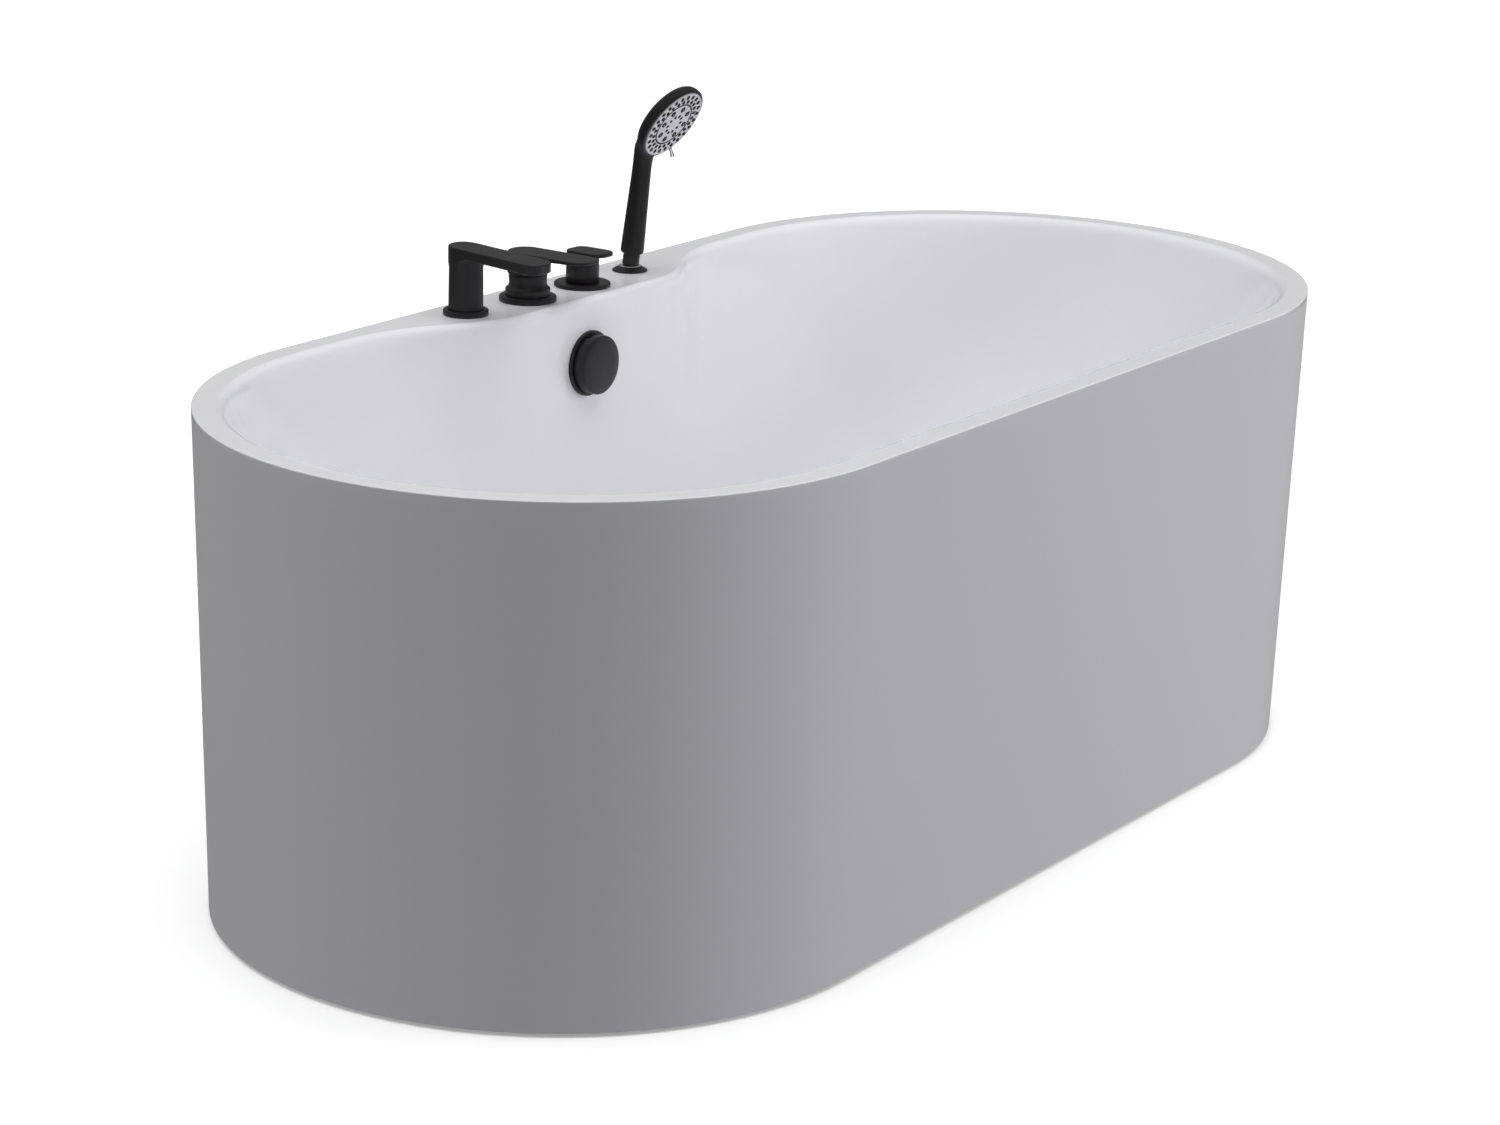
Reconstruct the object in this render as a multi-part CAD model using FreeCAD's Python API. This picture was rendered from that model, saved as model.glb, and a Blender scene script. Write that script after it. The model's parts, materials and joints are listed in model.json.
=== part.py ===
# Freestanding bathtub with deck-mounted bath filler and hand shower.
# Millimetres. +X along the tub, +Y towards the side with the fittings, +Z up.
# The origin is on the floor under the middle of the tub.
import FreeCAD, Part
import math
import os

V = FreeCAD.Vector
UP = V(0, 0, 1)
DOWN = V(0, 0, -1)
ALONG = V(1, 0, 0)
TO_BATHER = V(0, -1, 0)

# ---- clearances -------------------------------------------------------------------
seat_gap = 0.3          # between faces of pieces that move on each other
running_gap = 0.05      # radial, spindle in its bore
thread_gap = 0.15       # radial, male thread in female thread
hole_gap = 1.0          # radial, shank in a drilled hole
liner_gap = 3.0         # board or bracket beside a moulded wall

# ---- tub --------------------------------------------------------------------------
tub_length = 1700.0
tub_width = 800.0
tub_height = 580.0
skirt_inset = 12.0      # how far the skirt's foot stands in from the rim, all round
skirt_wall = 4.0
skirt_lift = 5.0        # skirt's foot above the floor
rim_width = 36.0
rim_plate = 6.0
rim_edge_round = 1.5
rim_inner_round = 9.0
bowl_wall = 5.0
bowl_floor_height = 135.0
wall_draft = 114.0      # how far the side walls lean in, rim to floor
end_draft = 100.0       # how much further the sloping ends lean in
cove_radius = 60.0
deck_width = 110.0      # from the tub's edge to the wall under the fittings
deck_flat_half = 185.0  # half length of the straight part of that wall
deck_blend = 200.0      # length over which the deck runs out into the plain rim
deck_fade = 6.0         # softness of the line where the deck wall dies out
quarter_points = 8      # outline points on each quarter of a rounded end
back_points = 20
front_points = 8

# ---- boards, frame and feet -------------------------------------------------------
board_thickness = 15.0
board_margin = 10.0     # board stays this far inside the flat of the bowl's floor
deck_board_thickness = 12.0
deck_board_half = 206.0
tube_size = 30.0
tube_wall = 2.5
rail_inset = 30.0       # rail's middle line in from the board's edge
rail_overhang = 70.0    # rails reach this far past the tub's straight sides
cross_end_setback = 40.0     # outer cross tube in from the rails' ends
cross_count = 4
cross_setback = 70.0    # cross tubes' ends in from the tub's sides
foot_setback = 100.0    # outer feet in from the cross tubes' ends
stud_radius = 6.0
stud_head_gap = 3.0     # stud's top under the board
pad_radius = 22.0
pad_height = 12.0
pad_socket = 8.0
pad_edge = 2.0          # bevel round the pad's foot
pad_rim = 5.0           # height where the pad starts to taper
pad_neck = 5.0          # pad's top is this much wider than the stud, in radius
stud_nut_height = 9.0
stud_nut_radius = 11.0
bracket_width = 40.0
bracket_height = 45.0
bracket_thickness = 3.0
bracket_tab = 9.0       # depth of the tab glued to the skirt

# ---- fittings on the deck ---------------------------------------------------------
fittings_x = -13.5      # middle of the row of fittings, the overflow and the drain
fittings_setback = 49.5      # outer fittings, from the tub's back edge
fittings_bow = 8.0      # the inner two stand this much nearer the bather
fitting_pitch = 110.0
washer_thickness = 2.0
washer_margin = 8.0
nut_height = 10.0
nut_margin = 9.0

spout_flange_radius = 27.3
spout_flange_height = 7.0
spout_column_radius = 21.0
spout_column_top_radius = 20.3
spout_top = 84.5        # above the deck, over the column
spout_drop = 7.5        # how much lower the top is at the tip
spout_root_thickness = 12.8
spout_tip_thickness = 12.3
spout_reach = 118.0
spout_tip_half_width = 21.2
spout_corner = 15.0
spout_edge_round = 1.6
spout_elbow_round = 9.0      # under the arm, where it leaves the column
spout_flange_round = 1.0
shank_wall = 4.0
spout_shank_radius = 14.0
spout_shank_length = 75.0
aerator_radius = 11.0
aerator_stand = 2.5
aerator_depth = 5.0
aerator_setback = 20.0
aerator_wall = 2.0
aerator_mesh = 1.5

mixer_flange_radius = 35.0
mixer_flange_height = 6.8
mixer_flange_round = 2.4
mixer_step_radius = 27.3
mixer_step_height = 9.4
mixer_foot_radius = 25.0     # body just above the step
mixer_waist_radius = 23.2
mixer_waist_height = 17.4
mixer_collar_radius = 25.0
mixer_collar_height = 19.5
mixer_spindle_radius = 8.0
mixer_spindle_depth = 12.0
cartridge_radius = 17.5
cartridge_depth = 62.0
mixer_shank_radius = 22.0
mixer_shank_length = 62.0
soft_edge = 1.0         # small bevel on turned edges
manifold_half_length = 30.0
manifold_half_width = 15.0
manifold_corner = 12.0
manifold_height = 22.0
inlet_offset = 17.5     # hot and cold stubs, each side of the mixer's axis
inlet_radius = 10.48
inlet_bore = 7.0
inlet_length = 14.0     # of each threaded stub, below the manifold
lever_gap = 2.0         # lever's underside over the collar
lever_top_round = 1.4
lever_root_thickness = 6.0
lever_tip_thickness = 3.4
lever_back = 25.0
lever_reach = 100.0
lever_root_half_width = 22.0
lever_tip_half_width = 22.5
lever_tip_corner = 20.0
lever_pin_back = 13.0   # hinge pin behind the spindle's axis
lever_pin_radius = 2.0
lever_pin_depth = 5.0   # hinge pin below the collar's top
lever_pin_grip = 6.0    # pin's hold in the collar, each side of the lug
lever_back_relief = 0.25     # underside's slope behind the pin, for the lift
lug_width = 12.0
lug_radius = 4.2
lug_room = 2.0

diverter_flange_radius = 35.0
diverter_flange_height = 5.0
diverter_flange_round = 1.2
diverter_sleeve_radius = 20.5
diverter_sleeve_height = 36.0
diverter_sleeve_wall = 3.0
diverter_lever_thickness = 4.6
diverter_lever_half_width = 18.5
diverter_lever_back = 17.0
diverter_lever_reach = 40.0
diverter_lever_corner = 12.0
diverter_tip_corner = 15.0
diverter_lever_round = 1.2
diverter_spindle_radius = 5.0
diverter_neck_radius = 12.0
diverter_shank_radius = 18.0
diverter_shank_length = 62.0

# ---- hand shower ------------------------------------------------------------------
handset_lean = 6.8      # degrees, towards the bather
holder_flange_radius = 22.3
holder_lip = 1.2
holder_top_radius = 14.2
holder_flange_height = 6.0
holder_ring_radius = 13.6
holder_ring_height = 1.2
holder_shank_radius = 17.0
holder_shank_length = 70.0
holder_socket_depth = 26.0
stem_radius = 10.6
stem_height = 14.6
stem_stand = 2.0        # stem's foot above the holder's ring
stem_plug_radius = 8.0
stem_plug_depth = 18.0  # below the deck
hose_bore = 5.0
handle_foot_radius = 14.9
handle_neck_radius = 12.2
handle_length = 97.0    # straight part, from the stem to the neck
neck_start = 15.0       # the neck's first length, which still follows the handle's cone
head_radius = 51.5
head_back_radius = 30.0
head_depth = 18.0
head_rim = 10.0
head_back_bow = 4.0
head_tilt = 31.0        # degrees below level that the spray face looks
head_forward = 62.5     # face centre in front of the holder's axis
head_rise = 193.5       # face centre above the deck
# Ovals between handle and head: behind the face, below its centre, half width, half depth,
# and the share of the turn from the handle's axis to the face's plane.
neck_ovals = ((15.4, 61.2, 12.5, 11.6, 0.15), (18.5, 46.0, 15.5, 12.8, 0.45),
              (16.0, 31.0, 19.5, 11.5, 0.75), (10.5, 16.0, 24.0, 7.0, 0.9))
face_radius = 47.4
face_thickness = 4.0
face_proud = 1.1
face_edge = 0.8
selector_angle = -28.0  # degrees from straight down, towards +X
selector_radius = 2.6
selector_length = 12.0
selector_tilt = 30.0
selector_inset = 2.0    # from the face's edge to the pin's root
selector_stand = 0.5    # pin's axis above the face
nozzle_radius = 1.8
nozzle_stand = 0.7
nozzle_ring_radii = (41.6, 34.9, 22.3, 12.4)
nozzle_counts = (24, 24, 8, 10)

# ---- overflow and drain -----------------------------------------------------------
overflow_drop = 80.0    # knob's axis below the rim's top
overflow_flange_radius = 40.5
overflow_flange_thickness = 4.5
window_count = 4
knob_radius = 36.5
knob_height = 17.5
knob_wall = 3.0
knob_crown = 2.1
knob_edge = 1.4
knob_slot_width = 26.0
knob_slot_depth = 6.0
knob_slot_bite = 18.0   # how far the slots reach in from the knob's edge
hub_low = 4.0           # hub's end behind the knob's open edge
spindle_radius = 5.0
spindle_grip = 7.0
hub_radius = 9.0
overflow_hole_radius = 24.0
spigot_wall = 3.0
spigot_grip = 6.0
overflow_body_radius = 30.0
overflow_body_depth = 30.0
gasket_thickness = 2.0
pipe_radius = 12.5
pipe_wall = 2.0
pipe_level = 62.0
pipe_bend = 40.0
pipe_stop = 1.0         # pipe's end short of the socket's bottom
socket_wall = 2.5
socket_depth = 14.0
socket_drop = 11.0      # socket's length below the overflow body

drain_flange_radius = 35.0
drain_flange_thickness = 2.5
drain_thread_radius = 25.8
drain_bore_radius = 22.0
drain_tube_length = 34.0
drain_hub_radius = 7.0
drain_hub_height = 6.0
drain_spoke_width = 3.0
plug_radius = 28.0
plug_thickness = 5.5
plug_edge = 1.5
plug_crown = 2.0
plug_stem_radius = 4.0
plug_stem_length = 50.0
seal_outer_radius = 27.0
seal_inner_radius = 23.5
seal_height = 2.2
drain_collar_radius = 36.0
drain_collar_thickness = 6.0
drain_cup_wall = 3.0
drain_cup_floor = 46.0
outlet_radius = 20.0
outlet_wall = 2.2
outlet_end = 14.0

# ---- worked out from the sizes above ----------------------------------------------
rim_under = tub_height - rim_plate
half_straight = (tub_length - tub_width) / 2
foot_half_straight = half_straight - end_draft
bowl_depth = tub_height - bowl_floor_height
rim_inner_radius = tub_width / 2 - rim_width
foot_radius = rim_inner_radius - wall_draft
wall_slope = wall_draft / bowl_depth
deck_edge = tub_width / 2 - deck_width
fittings_y = tub_width / 2 - fittings_setback
overflow_height = tub_height - overflow_drop
board_top = bowl_floor_height - bowl_wall
board_under = board_top - board_thickness
tube_under = board_under - tube_size
deck_board_under = rim_under - deck_board_thickness
board_half_width = foot_radius - cove_radius - board_margin
rail_y = board_half_width - rail_inset
rail_half_length = half_straight + rail_overhang
cross_end = rail_half_length - cross_end_setback
cross_positions = [cross_end * (2 * k / (cross_count - 1) - 1) for k in range(cross_count)]
cross_half_length = tub_width / 2 - cross_setback
foot_y = cross_half_length - foot_setback
spout_x, mixer_x, diverter_x, handset_x = (
    fittings_x + fitting_pitch * step for step in (-1.5, -0.5, 0.5, 1.5))
inner_row_y = fittings_y - fittings_bow


def deck_bulge(depth):
    # How far the wall under the deck stands in front of the plain sloping wall.
    bulge = (rim_inner_radius - deck_edge) - wall_slope * depth
    return (bulge + math.sqrt(bulge ** 2 + deck_fade ** 2)) / 2


overflow_low = tub_height - overflow_height + overflow_flange_radius
overflow_wall_y = rim_inner_radius - wall_slope * overflow_low - deck_bulge(overflow_low)

nodes = {}


# ---- helpers ----------------------------------------------------------------------
def keep(name, shape, merge_faces=True):
    nodes[name] = shape.removeSplitter() if merge_faces and len(shape.Solids) == 1 else shape


def placed(shape, base, direction=UP):
    shape.Placement = FreeCAD.Placement(base, FreeCAD.Rotation(UP, direction))
    return shape


def cylinder(radius, height, base, direction=UP):
    return Part.makeCylinder(radius, height, base, direction)


def tube(outer, inner, height, base, direction=UP):
    return cylinder(outer, height, base, direction).cut(cylinder(inner, height, base, direction))


def block(x_range, y_range, z_range):
    size = [high - low for low, high in (x_range, y_range, z_range)]
    return Part.makeBox(*size, V(x_range[0], y_range[0], z_range[0]))


def square_tube(x_range, y_range, z_range, along):
    # Hollow box section, open at both ends of its long axis.
    inner = [(low + tube_wall, high - tube_wall) for low, high in (x_range, y_range, z_range)]
    inner[along] = (x_range, y_range, z_range)[along]
    return block(x_range, y_range, z_range).cut(block(*inner))


def turned(profile, base, direction=UP):
    # Solid of revolution from (radius, height) points, round the outline with the solid on the
    # left. A third number bows the line that reaches the point outwards by that much.
    edges = []
    for first, second in zip(profile[-1:] + profile[:-1], profile):
        start, end = V(first[0], 0, first[1]), V(second[0], 0, second[1])
        if len(second) == 3:
            outwards = V(end.z - start.z, 0, start.x - end.x)
            outwards.normalize()
            edges.append(Part.Arc(start, (start + end) / 2 + outwards * second[2], end).toShape())
        else:
            edges.append(Part.LineSegment(start, end).toShape())
    face = Part.Face(Part.Wire(edges))
    return placed(face.revolve(V(0, 0, 0), UP, 360), base, direction)


def crown_bow(radius, rise):
    # How far a crown's line bows out when its arc is centred on the axis.
    chord = math.hypot(radius, rise)
    ball_radius = chord ** 2 / (2 * rise)
    return ball_radius - math.sqrt(ball_radius ** 2 - chord ** 2 / 4)


def hexagon(radius, height, base):
    corners = [base + V(radius * math.cos(math.radians(60 * k)), radius * math.sin(math.radians(60 * k)), 0)
               for k in range(6)]
    return Part.Face(Part.makePolygon(corners + corners[:1])).extrude(V(0, 0, height))


def rounded_outline(corners, height):
    # Closed flat wire round (x, y, radius) corners, each rounded by its own radius.
    edges = []
    joints = []
    count = len(corners)
    for k in range(count):
        corner = V(corners[k][0], corners[k][1], height)
        before = V(corners[k - 1][0], corners[k - 1][1], height) - corner
        after = V(corners[(k + 1) % count][0], corners[(k + 1) % count][1], height) - corner
        half_angle = before.getAngle(after) / 2
        radius = corners[k][2]
        run = radius / math.tan(half_angle)
        before.normalize()
        after.normalize()
        middle = before + after
        middle.normalize()
        bow = corner + middle * (radius / math.sin(half_angle) - radius)
        joints.append((corner + before * run, bow, corner + after * run))
    for k in range(count):
        start, bow, end = joints[k]
        edges.append(Part.Arc(start, bow, end).toShape())
        following = joints[(k + 1) % count][0]
        if end.distanceToPoint(following) > 1e-6:
            edges.append(Part.LineSegment(end, following).toShape())
    return Part.Wire(edges)


def side_prism(profile, x_centre, y_axis, z_base, half_width):
    # (forward, height) outline seen from the tub's end, extruded across X.
    corners = [V(x_centre - half_width, y_axis - forward, z_base + height) for forward, height in profile]
    return Part.Face(Part.makePolygon(corners + corners[:1])).extrude(V(2 * half_width, 0, 0))


def edges_at(shape, height, slack=0.02):
    return [edge for edge in shape.Edges
            if abs(edge.BoundBox.ZMin - height) < slack and abs(edge.BoundBox.ZMax - height) < slack]


def rounded_plate(half_length, half_width, corner, thickness, centre):
    # Flat slab with rounded corners, its underside centred on a point.
    outline = [(centre.x + side * half_length, centre.y + end * half_width, corner)
               for side, end in ((-1, -1), (1, -1), (1, 1), (-1, 1))]
    return Part.Face(rounded_outline(outline, centre.z)).extrude(V(0, 0, thickness))


def stadium(radius, height):
    # Two straight sides with half-round ends.
    front, back = -radius, radius
    left, right = -half_straight, half_straight
    return Part.Wire([
        Part.LineSegment(V(left, front, height), V(right, front, height)).toShape(),
        Part.Arc(V(right, front, height), V(right + radius, 0, height), V(right, back, height)).toShape(),
        Part.LineSegment(V(right, back, height), V(left, back, height)).toShape(),
        Part.Arc(V(left, back, height), V(left - radius, 0, height), V(left, front, height)).toShape()])


# ---- tub --------------------------------------------------------------------------
def skirt_radius(height):
    # Half width of the tapered outside at a height.
    return tub_width / 2 - skirt_inset * (tub_height - height) / (tub_height - skirt_lift)


def tapered_stadium(low, high, inward=0.0):
    wires = [stadium(skirt_radius(height) - inward, height) for height in (low, high)]
    return Part.makeLoft(wires, True, True)


def deck_share(x):
    # 1 along the fittings deck, easing to 0 where the rim is plain.
    past = abs(x) - deck_flat_half
    if past <= 0:
        return 1.0
    if past >= deck_blend:
        return 0.0
    return (1 + math.cos(math.pi * past / deck_blend)) / 2


def bowl_outline(depth, inset, outward):
    # Points of the bowl's plan outline at a depth under the rim, moved in by the cove's inset.
    share = depth / bowl_depth
    straight = half_straight + (foot_half_straight - half_straight) * share
    radius = rim_inner_radius - wall_slope * depth - inset + outward
    bulge = deck_bulge(depth)
    turn = math.radians(90 / quarter_points)
    points = []
    for step in range(quarter_points):
        angle = turn * step
        points.append((straight + radius * math.cos(angle), radius * math.sin(angle)))
    for step in range(back_points):
        x = straight * (1 - 2 * step / back_points)
        points.append((x, radius - bulge * deck_share(x)))
    for step in range(2 * quarter_points):
        angle = math.pi / 2 + turn * step
        points.append((-straight + radius * math.cos(angle), radius * math.sin(angle)))
    for step in range(front_points):
        points.append((straight * (2 * step / front_points - 1), -radius))
    for step in range(quarter_points):
        angle = -math.pi / 2 + turn * step
        points.append((straight + radius * math.cos(angle), radius * math.sin(angle)))
    return points


def skinned_solid(sections):
    # Closed solid whose side is one smooth surface through closed outlines of equal point counts.
    def spacing(first, second):
        return sum(p.distanceToPoint(q) for p, q in zip(first, second)) / len(first)

    around, down = [0.0], [0.0]
    rim = sections[0]
    for k in range(len(rim)):
        around.append(around[-1] + rim[k].distanceToPoint(rim[(k + 1) % len(rim)]))
    for upper, lower in zip(sections, sections[1:]):
        down.append(down[-1] + spacing(upper, lower))
    rings = []
    for points in sections:
        ring = Part.BSplineCurve()
        ring.interpolate(Points=points, PeriodicFlag=True, Parameters=around)
        rings.append(ring)
    columns = []
    for poles in zip(*(ring.getPoles() for ring in rings)):
        column = Part.BSplineCurve()
        column.interpolate(Points=list(poles), Parameters=down)
        columns.append(column.getPoles())
    surface = Part.BSplineSurface()
    surface.buildFromPolesMultsKnots(columns, ring.getMultiplicities(), column.getMultiplicities(),
                                     ring.getKnots(), column.getKnots(), True, False, 3, 3)
    middle = around[2 * quarter_points + back_points]
    spans = ((around[0], middle), (middle, around[-1]))
    faces = [surface.toShape(low, high, down[0], down[-1]) for low, high in spans]
    for level in (down[0], down[-1]):
        edge_line = surface.vIso(level)
        faces.append(Part.Face(Part.Wire([edge_line.toShape(low, high) for low, high in spans])))
    sewn = Part.makeCompound(faces)
    sewn.sewShape()
    solid = Part.Solid(sewn.Shells[0])
    if solid.Volume < 0:
        solid.reverse()
    return solid


def bowl_solid(outward, top_depth, lip_round):
    # From the top, past the lip's round if it has one, down the walls and round the cove.
    cove = cove_radius + outward
    floor_depth = bowl_depth + outward
    levels = []
    if lip_round:
        for turn in (0.0, 22.5, 45.0, 67.5):
            angle = math.radians(turn)
            levels.append((lip_round * (1 - math.cos(angle)), -lip_round * (1 - math.sin(angle))))
    wall_start = top_depth + lip_round
    wall_end = floor_depth - cove
    # Closer together towards both ends, so that the wall between the two rounds stays straight.
    for share in (0.0, 0.02, 0.06, 0.14, 0.28, 0.46, 0.64, 0.8, 0.9, 0.96, 1.0):
        levels.append((wall_start + (wall_end - wall_start) * share, 0.0))
    for turn in (22.5, 45.0, 67.5, 90.0):
        angle = math.radians(turn)
        levels.append((floor_depth - cove + cove * math.sin(angle), cove * (1 - math.cos(angle))))
    sections = []
    for depth, inset in levels:
        outline = bowl_outline(min(depth, bowl_depth), inset, outward)
        sections.append([V(x, y, tub_height - depth) for x, y in outline])
    return skinned_solid(sections)


def fitting_holes(thickness, top):
    spots = ((spout_x, fittings_y, spout_shank_radius), (mixer_x, inner_row_y, mixer_shank_radius),
             (diverter_x, inner_row_y, diverter_shank_radius), (handset_x, fittings_y, holder_shank_radius))
    return [cylinder(radius + hole_gap, thickness, V(x, y, top - thickness)) for x, y, radius in spots]


def make_tub():
    cavity = bowl_solid(0.0, 0.0, rim_inner_round)
    plate = tapered_stadium(rim_under, tub_height)
    plate = plate.makeFillet(rim_edge_round, edges_at(plate, tub_height))
    basin = plate.fuse(bowl_solid(bowl_wall, rim_plate / 2, 0.0)).cut(cavity)
    drain_hole = cylinder(drain_thread_radius + hole_gap, 3 * bowl_wall,
                          V(fittings_x, 0, bowl_floor_height - 2 * bowl_wall))
    overflow_hole = cylinder(overflow_hole_radius + hole_gap, 3 * bowl_wall,
                             V(fittings_x, overflow_wall_y + 2 * bowl_wall, overflow_height), TO_BATHER)
    basin = basin.cut(fitting_holes(rim_plate, tub_height) + [drain_hole, overflow_hole])
    keep("basin", basin, merge_faces=False)

    inside = tapered_stadium(skirt_lift, rim_under, skirt_wall)
    keep("skirt", tapered_stadium(skirt_lift, rim_under).cut(inside))

    y_low = deck_edge + bowl_wall + liner_gap
    y_high = skirt_radius(deck_board_under) - skirt_wall - liner_gap
    deck_board = block((-deck_board_half, deck_board_half), (y_low, y_high), (deck_board_under, rim_under))
    keep("deck_board", deck_board.cut(fitting_holes(deck_board_thickness, rim_under)))
    return inside


# ---- boards, frame and feet -------------------------------------------------------
def make_base(inside):
    board = rounded_plate(foot_half_straight + board_half_width, board_half_width,
                          board_half_width - soft_edge, board_thickness, V(0, 0, board_under))
    keep("floor_board", board.cut(cylinder(drain_collar_radius + liner_gap, board_thickness,
                                           V(fittings_x, 0, board_under))))

    z_range = (tube_under, board_under)
    half = tube_size / 2
    rails, crosses = [], []
    for side in (-1, 1):
        y = side * rail_y
        rails.append(square_tube((-rail_half_length, rail_half_length), (y - half, y + half), z_range, 0))
    inner_y = rail_y - half
    outer_y = rail_y + half
    for x in cross_positions:
        for y_range in ((-cross_half_length, -outer_y), (-inner_y, inner_y), (outer_y, cross_half_length)):
            crosses.append(square_tube((x - half, x + half), y_range, z_range, 1))
    keep("frame_rails", Part.makeCompound(rails))

    inner_crosses = cross_positions[1:-1]
    feet = [(x, side * foot_y) for x in (cross_positions[0], cross_positions[-1]) for side in (-1, 1)]
    feet += [(x, 0.0) for x in inner_crosses]
    holes = [cylinder(stud_radius + hole_gap / 2, tube_size, V(x, y, tube_under)) for x, y in feet]
    keep("frame_crosses", Part.makeCompound([cross.cut(holes) for cross in crosses]))

    studs, nuts, pads = [], [], []
    stud_low = pad_height - pad_socket
    stud_high = board_under - stud_head_gap
    for x, y in feet:
        studs.append(cylinder(stud_radius, stud_high - stud_low, V(x, y, stud_low)))
        nut = hexagon(stud_nut_radius, stud_nut_height, V(x, y, tube_under - stud_nut_height))
        nuts.append(nut.cut(cylinder(stud_radius + thread_gap, tube_size, V(x, y, tube_under - tube_size))))
        pad = turned([(0, 0), (pad_radius - pad_edge, 0), (pad_radius, pad_edge), (pad_radius, pad_rim),
                      (stud_radius + pad_neck, pad_height), (0, pad_height)], V(x, y, 0))
        pads.append(pad.cut(cylinder(stud_radius + thread_gap, pad_height, V(x, y, stud_low))))
    keep("foot_studs", Part.makeCompound(studs))
    keep("foot_nuts", Part.makeCompound(nuts))
    keep("foot_pads", Part.makeCompound(pads))

    # Plates under the outer cross tubes, with a tab that follows the skirt's inner face.
    brackets = []
    plate_low = tube_under - bracket_thickness
    tab_depth = skirt_radius(tube_under) - skirt_wall - bracket_tab
    for x in (cross_positions[0], cross_positions[-1]):
        for side in (-1, 1):
            x_range = (x - bracket_width / 2, x + bracket_width / 2)
            far = side * tub_width / 2
            near = side * (cross_half_length - bracket_width)
            plate = block(x_range, sorted((near, far)), (plate_low, tube_under))
            tab = block(x_range, sorted((side * tab_depth, far)), (plate_low, plate_low + bracket_height))
            brackets.append(plate.fuse(tab).common(inside).removeSplitter())
    keep("skirt_brackets", Part.makeCompound(brackets))


# ---- fastening under the deck -----------------------------------------------------
def washer_and_nut(name, x, y, shank):
    washer_z = deck_board_under - washer_thickness
    keep(name + "_washer", tube(shank + washer_margin, shank + thread_gap, washer_thickness,
                                V(x, y, washer_z)))
    nut = hexagon(shank + nut_margin, nut_height, V(x, y, washer_z - nut_height))
    bore = cylinder(shank + thread_gap, nut_height, V(x, y, washer_z - nut_height))
    keep(name + "_nut", nut.cut(bore))


def flange_ring(outer, inner, height, edge_round, base):
    ring = cylinder(outer, height, base)
    ring = ring.makeFillet(edge_round, edges_at(ring, base.z + height))
    return ring.cut(cylinder(inner, height, base))


# ---- spout ------------------------------------------------------------------------
def make_spout():
    deck = V(spout_x, fittings_y, tub_height)
    keep("spout_flange", flange_ring(spout_flange_radius, spout_column_radius + thread_gap,
                                     spout_flange_height, spout_flange_round, deck))
    root_low = spout_top - spout_root_thickness
    tip_top = spout_top - spout_drop
    column = Part.makeCone(spout_column_radius, spout_column_top_radius, tip_top, deck, UP)
    back = spout_column_radius
    plan = rounded_outline([
        (spout_x - back, fittings_y + back, back - soft_edge),
        (spout_x - spout_tip_half_width, fittings_y - spout_reach, spout_corner),
        (spout_x + spout_tip_half_width, fittings_y - spout_reach, spout_corner),
        (spout_x + back, fittings_y + back, back - soft_edge)], tub_height)
    arm = Part.Face(plan).extrude(V(0, 0, 2 * spout_top))
    slope = spout_drop / (spout_reach + back)
    tip_low = tip_top - spout_tip_thickness
    side = [(-2 * back, spout_top + slope * back), (-2 * back, root_low + slope * back),
            (0, root_low), (2 * spout_reach, tip_low - slope * spout_reach),
            (2 * spout_reach, tip_top - slope * spout_reach)]
    arm = arm.common(side_prism(side, spout_x, fittings_y, tub_height, 2 * back))
    top_edges = [edge for edge in arm.Edges if runs_round(edge, tub_height + tip_top)]
    arm = arm.makeFillet(spout_edge_round, top_edges)
    elbow = elbow_ring(root_low, tip_top, deck).common(Part.Face(plan).extrude(V(0, 0, spout_top)))
    spout = column.fuse([arm, elbow]).removeSplitter()
    shank = cylinder(spout_shank_radius, spout_shank_length, deck - V(0, 0, spout_shank_length))
    waterway = cylinder(spout_shank_radius - shank_wall, spout_shank_length + root_low,
                        deck - V(0, 0, spout_shank_length))
    under = tub_height + tip_low + slope * aerator_setback
    aerator_base = V(spout_x, fittings_y - spout_reach + aerator_setback, under - aerator_stand)
    aerator_height = aerator_depth + aerator_stand
    pocket = cylinder(aerator_radius, aerator_height, aerator_base)
    keep("spout", spout.fuse(shank).cut([waterway, pocket]))
    aerator = tube(aerator_radius, aerator_radius - aerator_wall, aerator_height, aerator_base)
    mesh = cylinder(aerator_radius - aerator_wall / 2, aerator_mesh, aerator_base + V(0, 0, aerator_stand))
    keep("spout_aerator", aerator.fuse(mesh))
    washer_and_nut("spout", spout_x, fittings_y, spout_shank_radius)


def runs_round(edge, height):
    # True for the edges round the arm's top, and not for the short upright ones.
    box = edge.BoundBox
    return box.ZMin > height - spout_tip_thickness / 4 and box.XLength + box.YLength > spout_edge_round


def elbow_ring(root_low, column_height, deck):
    # Rounded corner under the arm, turned round the column's axis.
    low = root_low - spout_elbow_round
    taper = (spout_column_radius - spout_column_top_radius) / column_height
    inner = spout_column_radius - taper * low
    outer = inner + spout_elbow_round
    cut_in = spout_elbow_round * (1 - math.sqrt(0.5))
    inside = V(inner / 2, 0, low)
    above = V(inner / 2, 0, root_low + spout_edge_round)
    start = V(outer, 0, root_low)
    curve = Part.Arc(start, V(inner + cut_in, 0, root_low - cut_in), V(inner, 0, low))
    rest = Part.makePolygon([V(inner, 0, low), inside, above, V(outer, 0, above.z), start])
    face = Part.Face(Part.Wire([curve.toShape()] + rest.Edges))
    return placed(face.revolve(V(0, 0, 0), UP, 360), deck)


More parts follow.
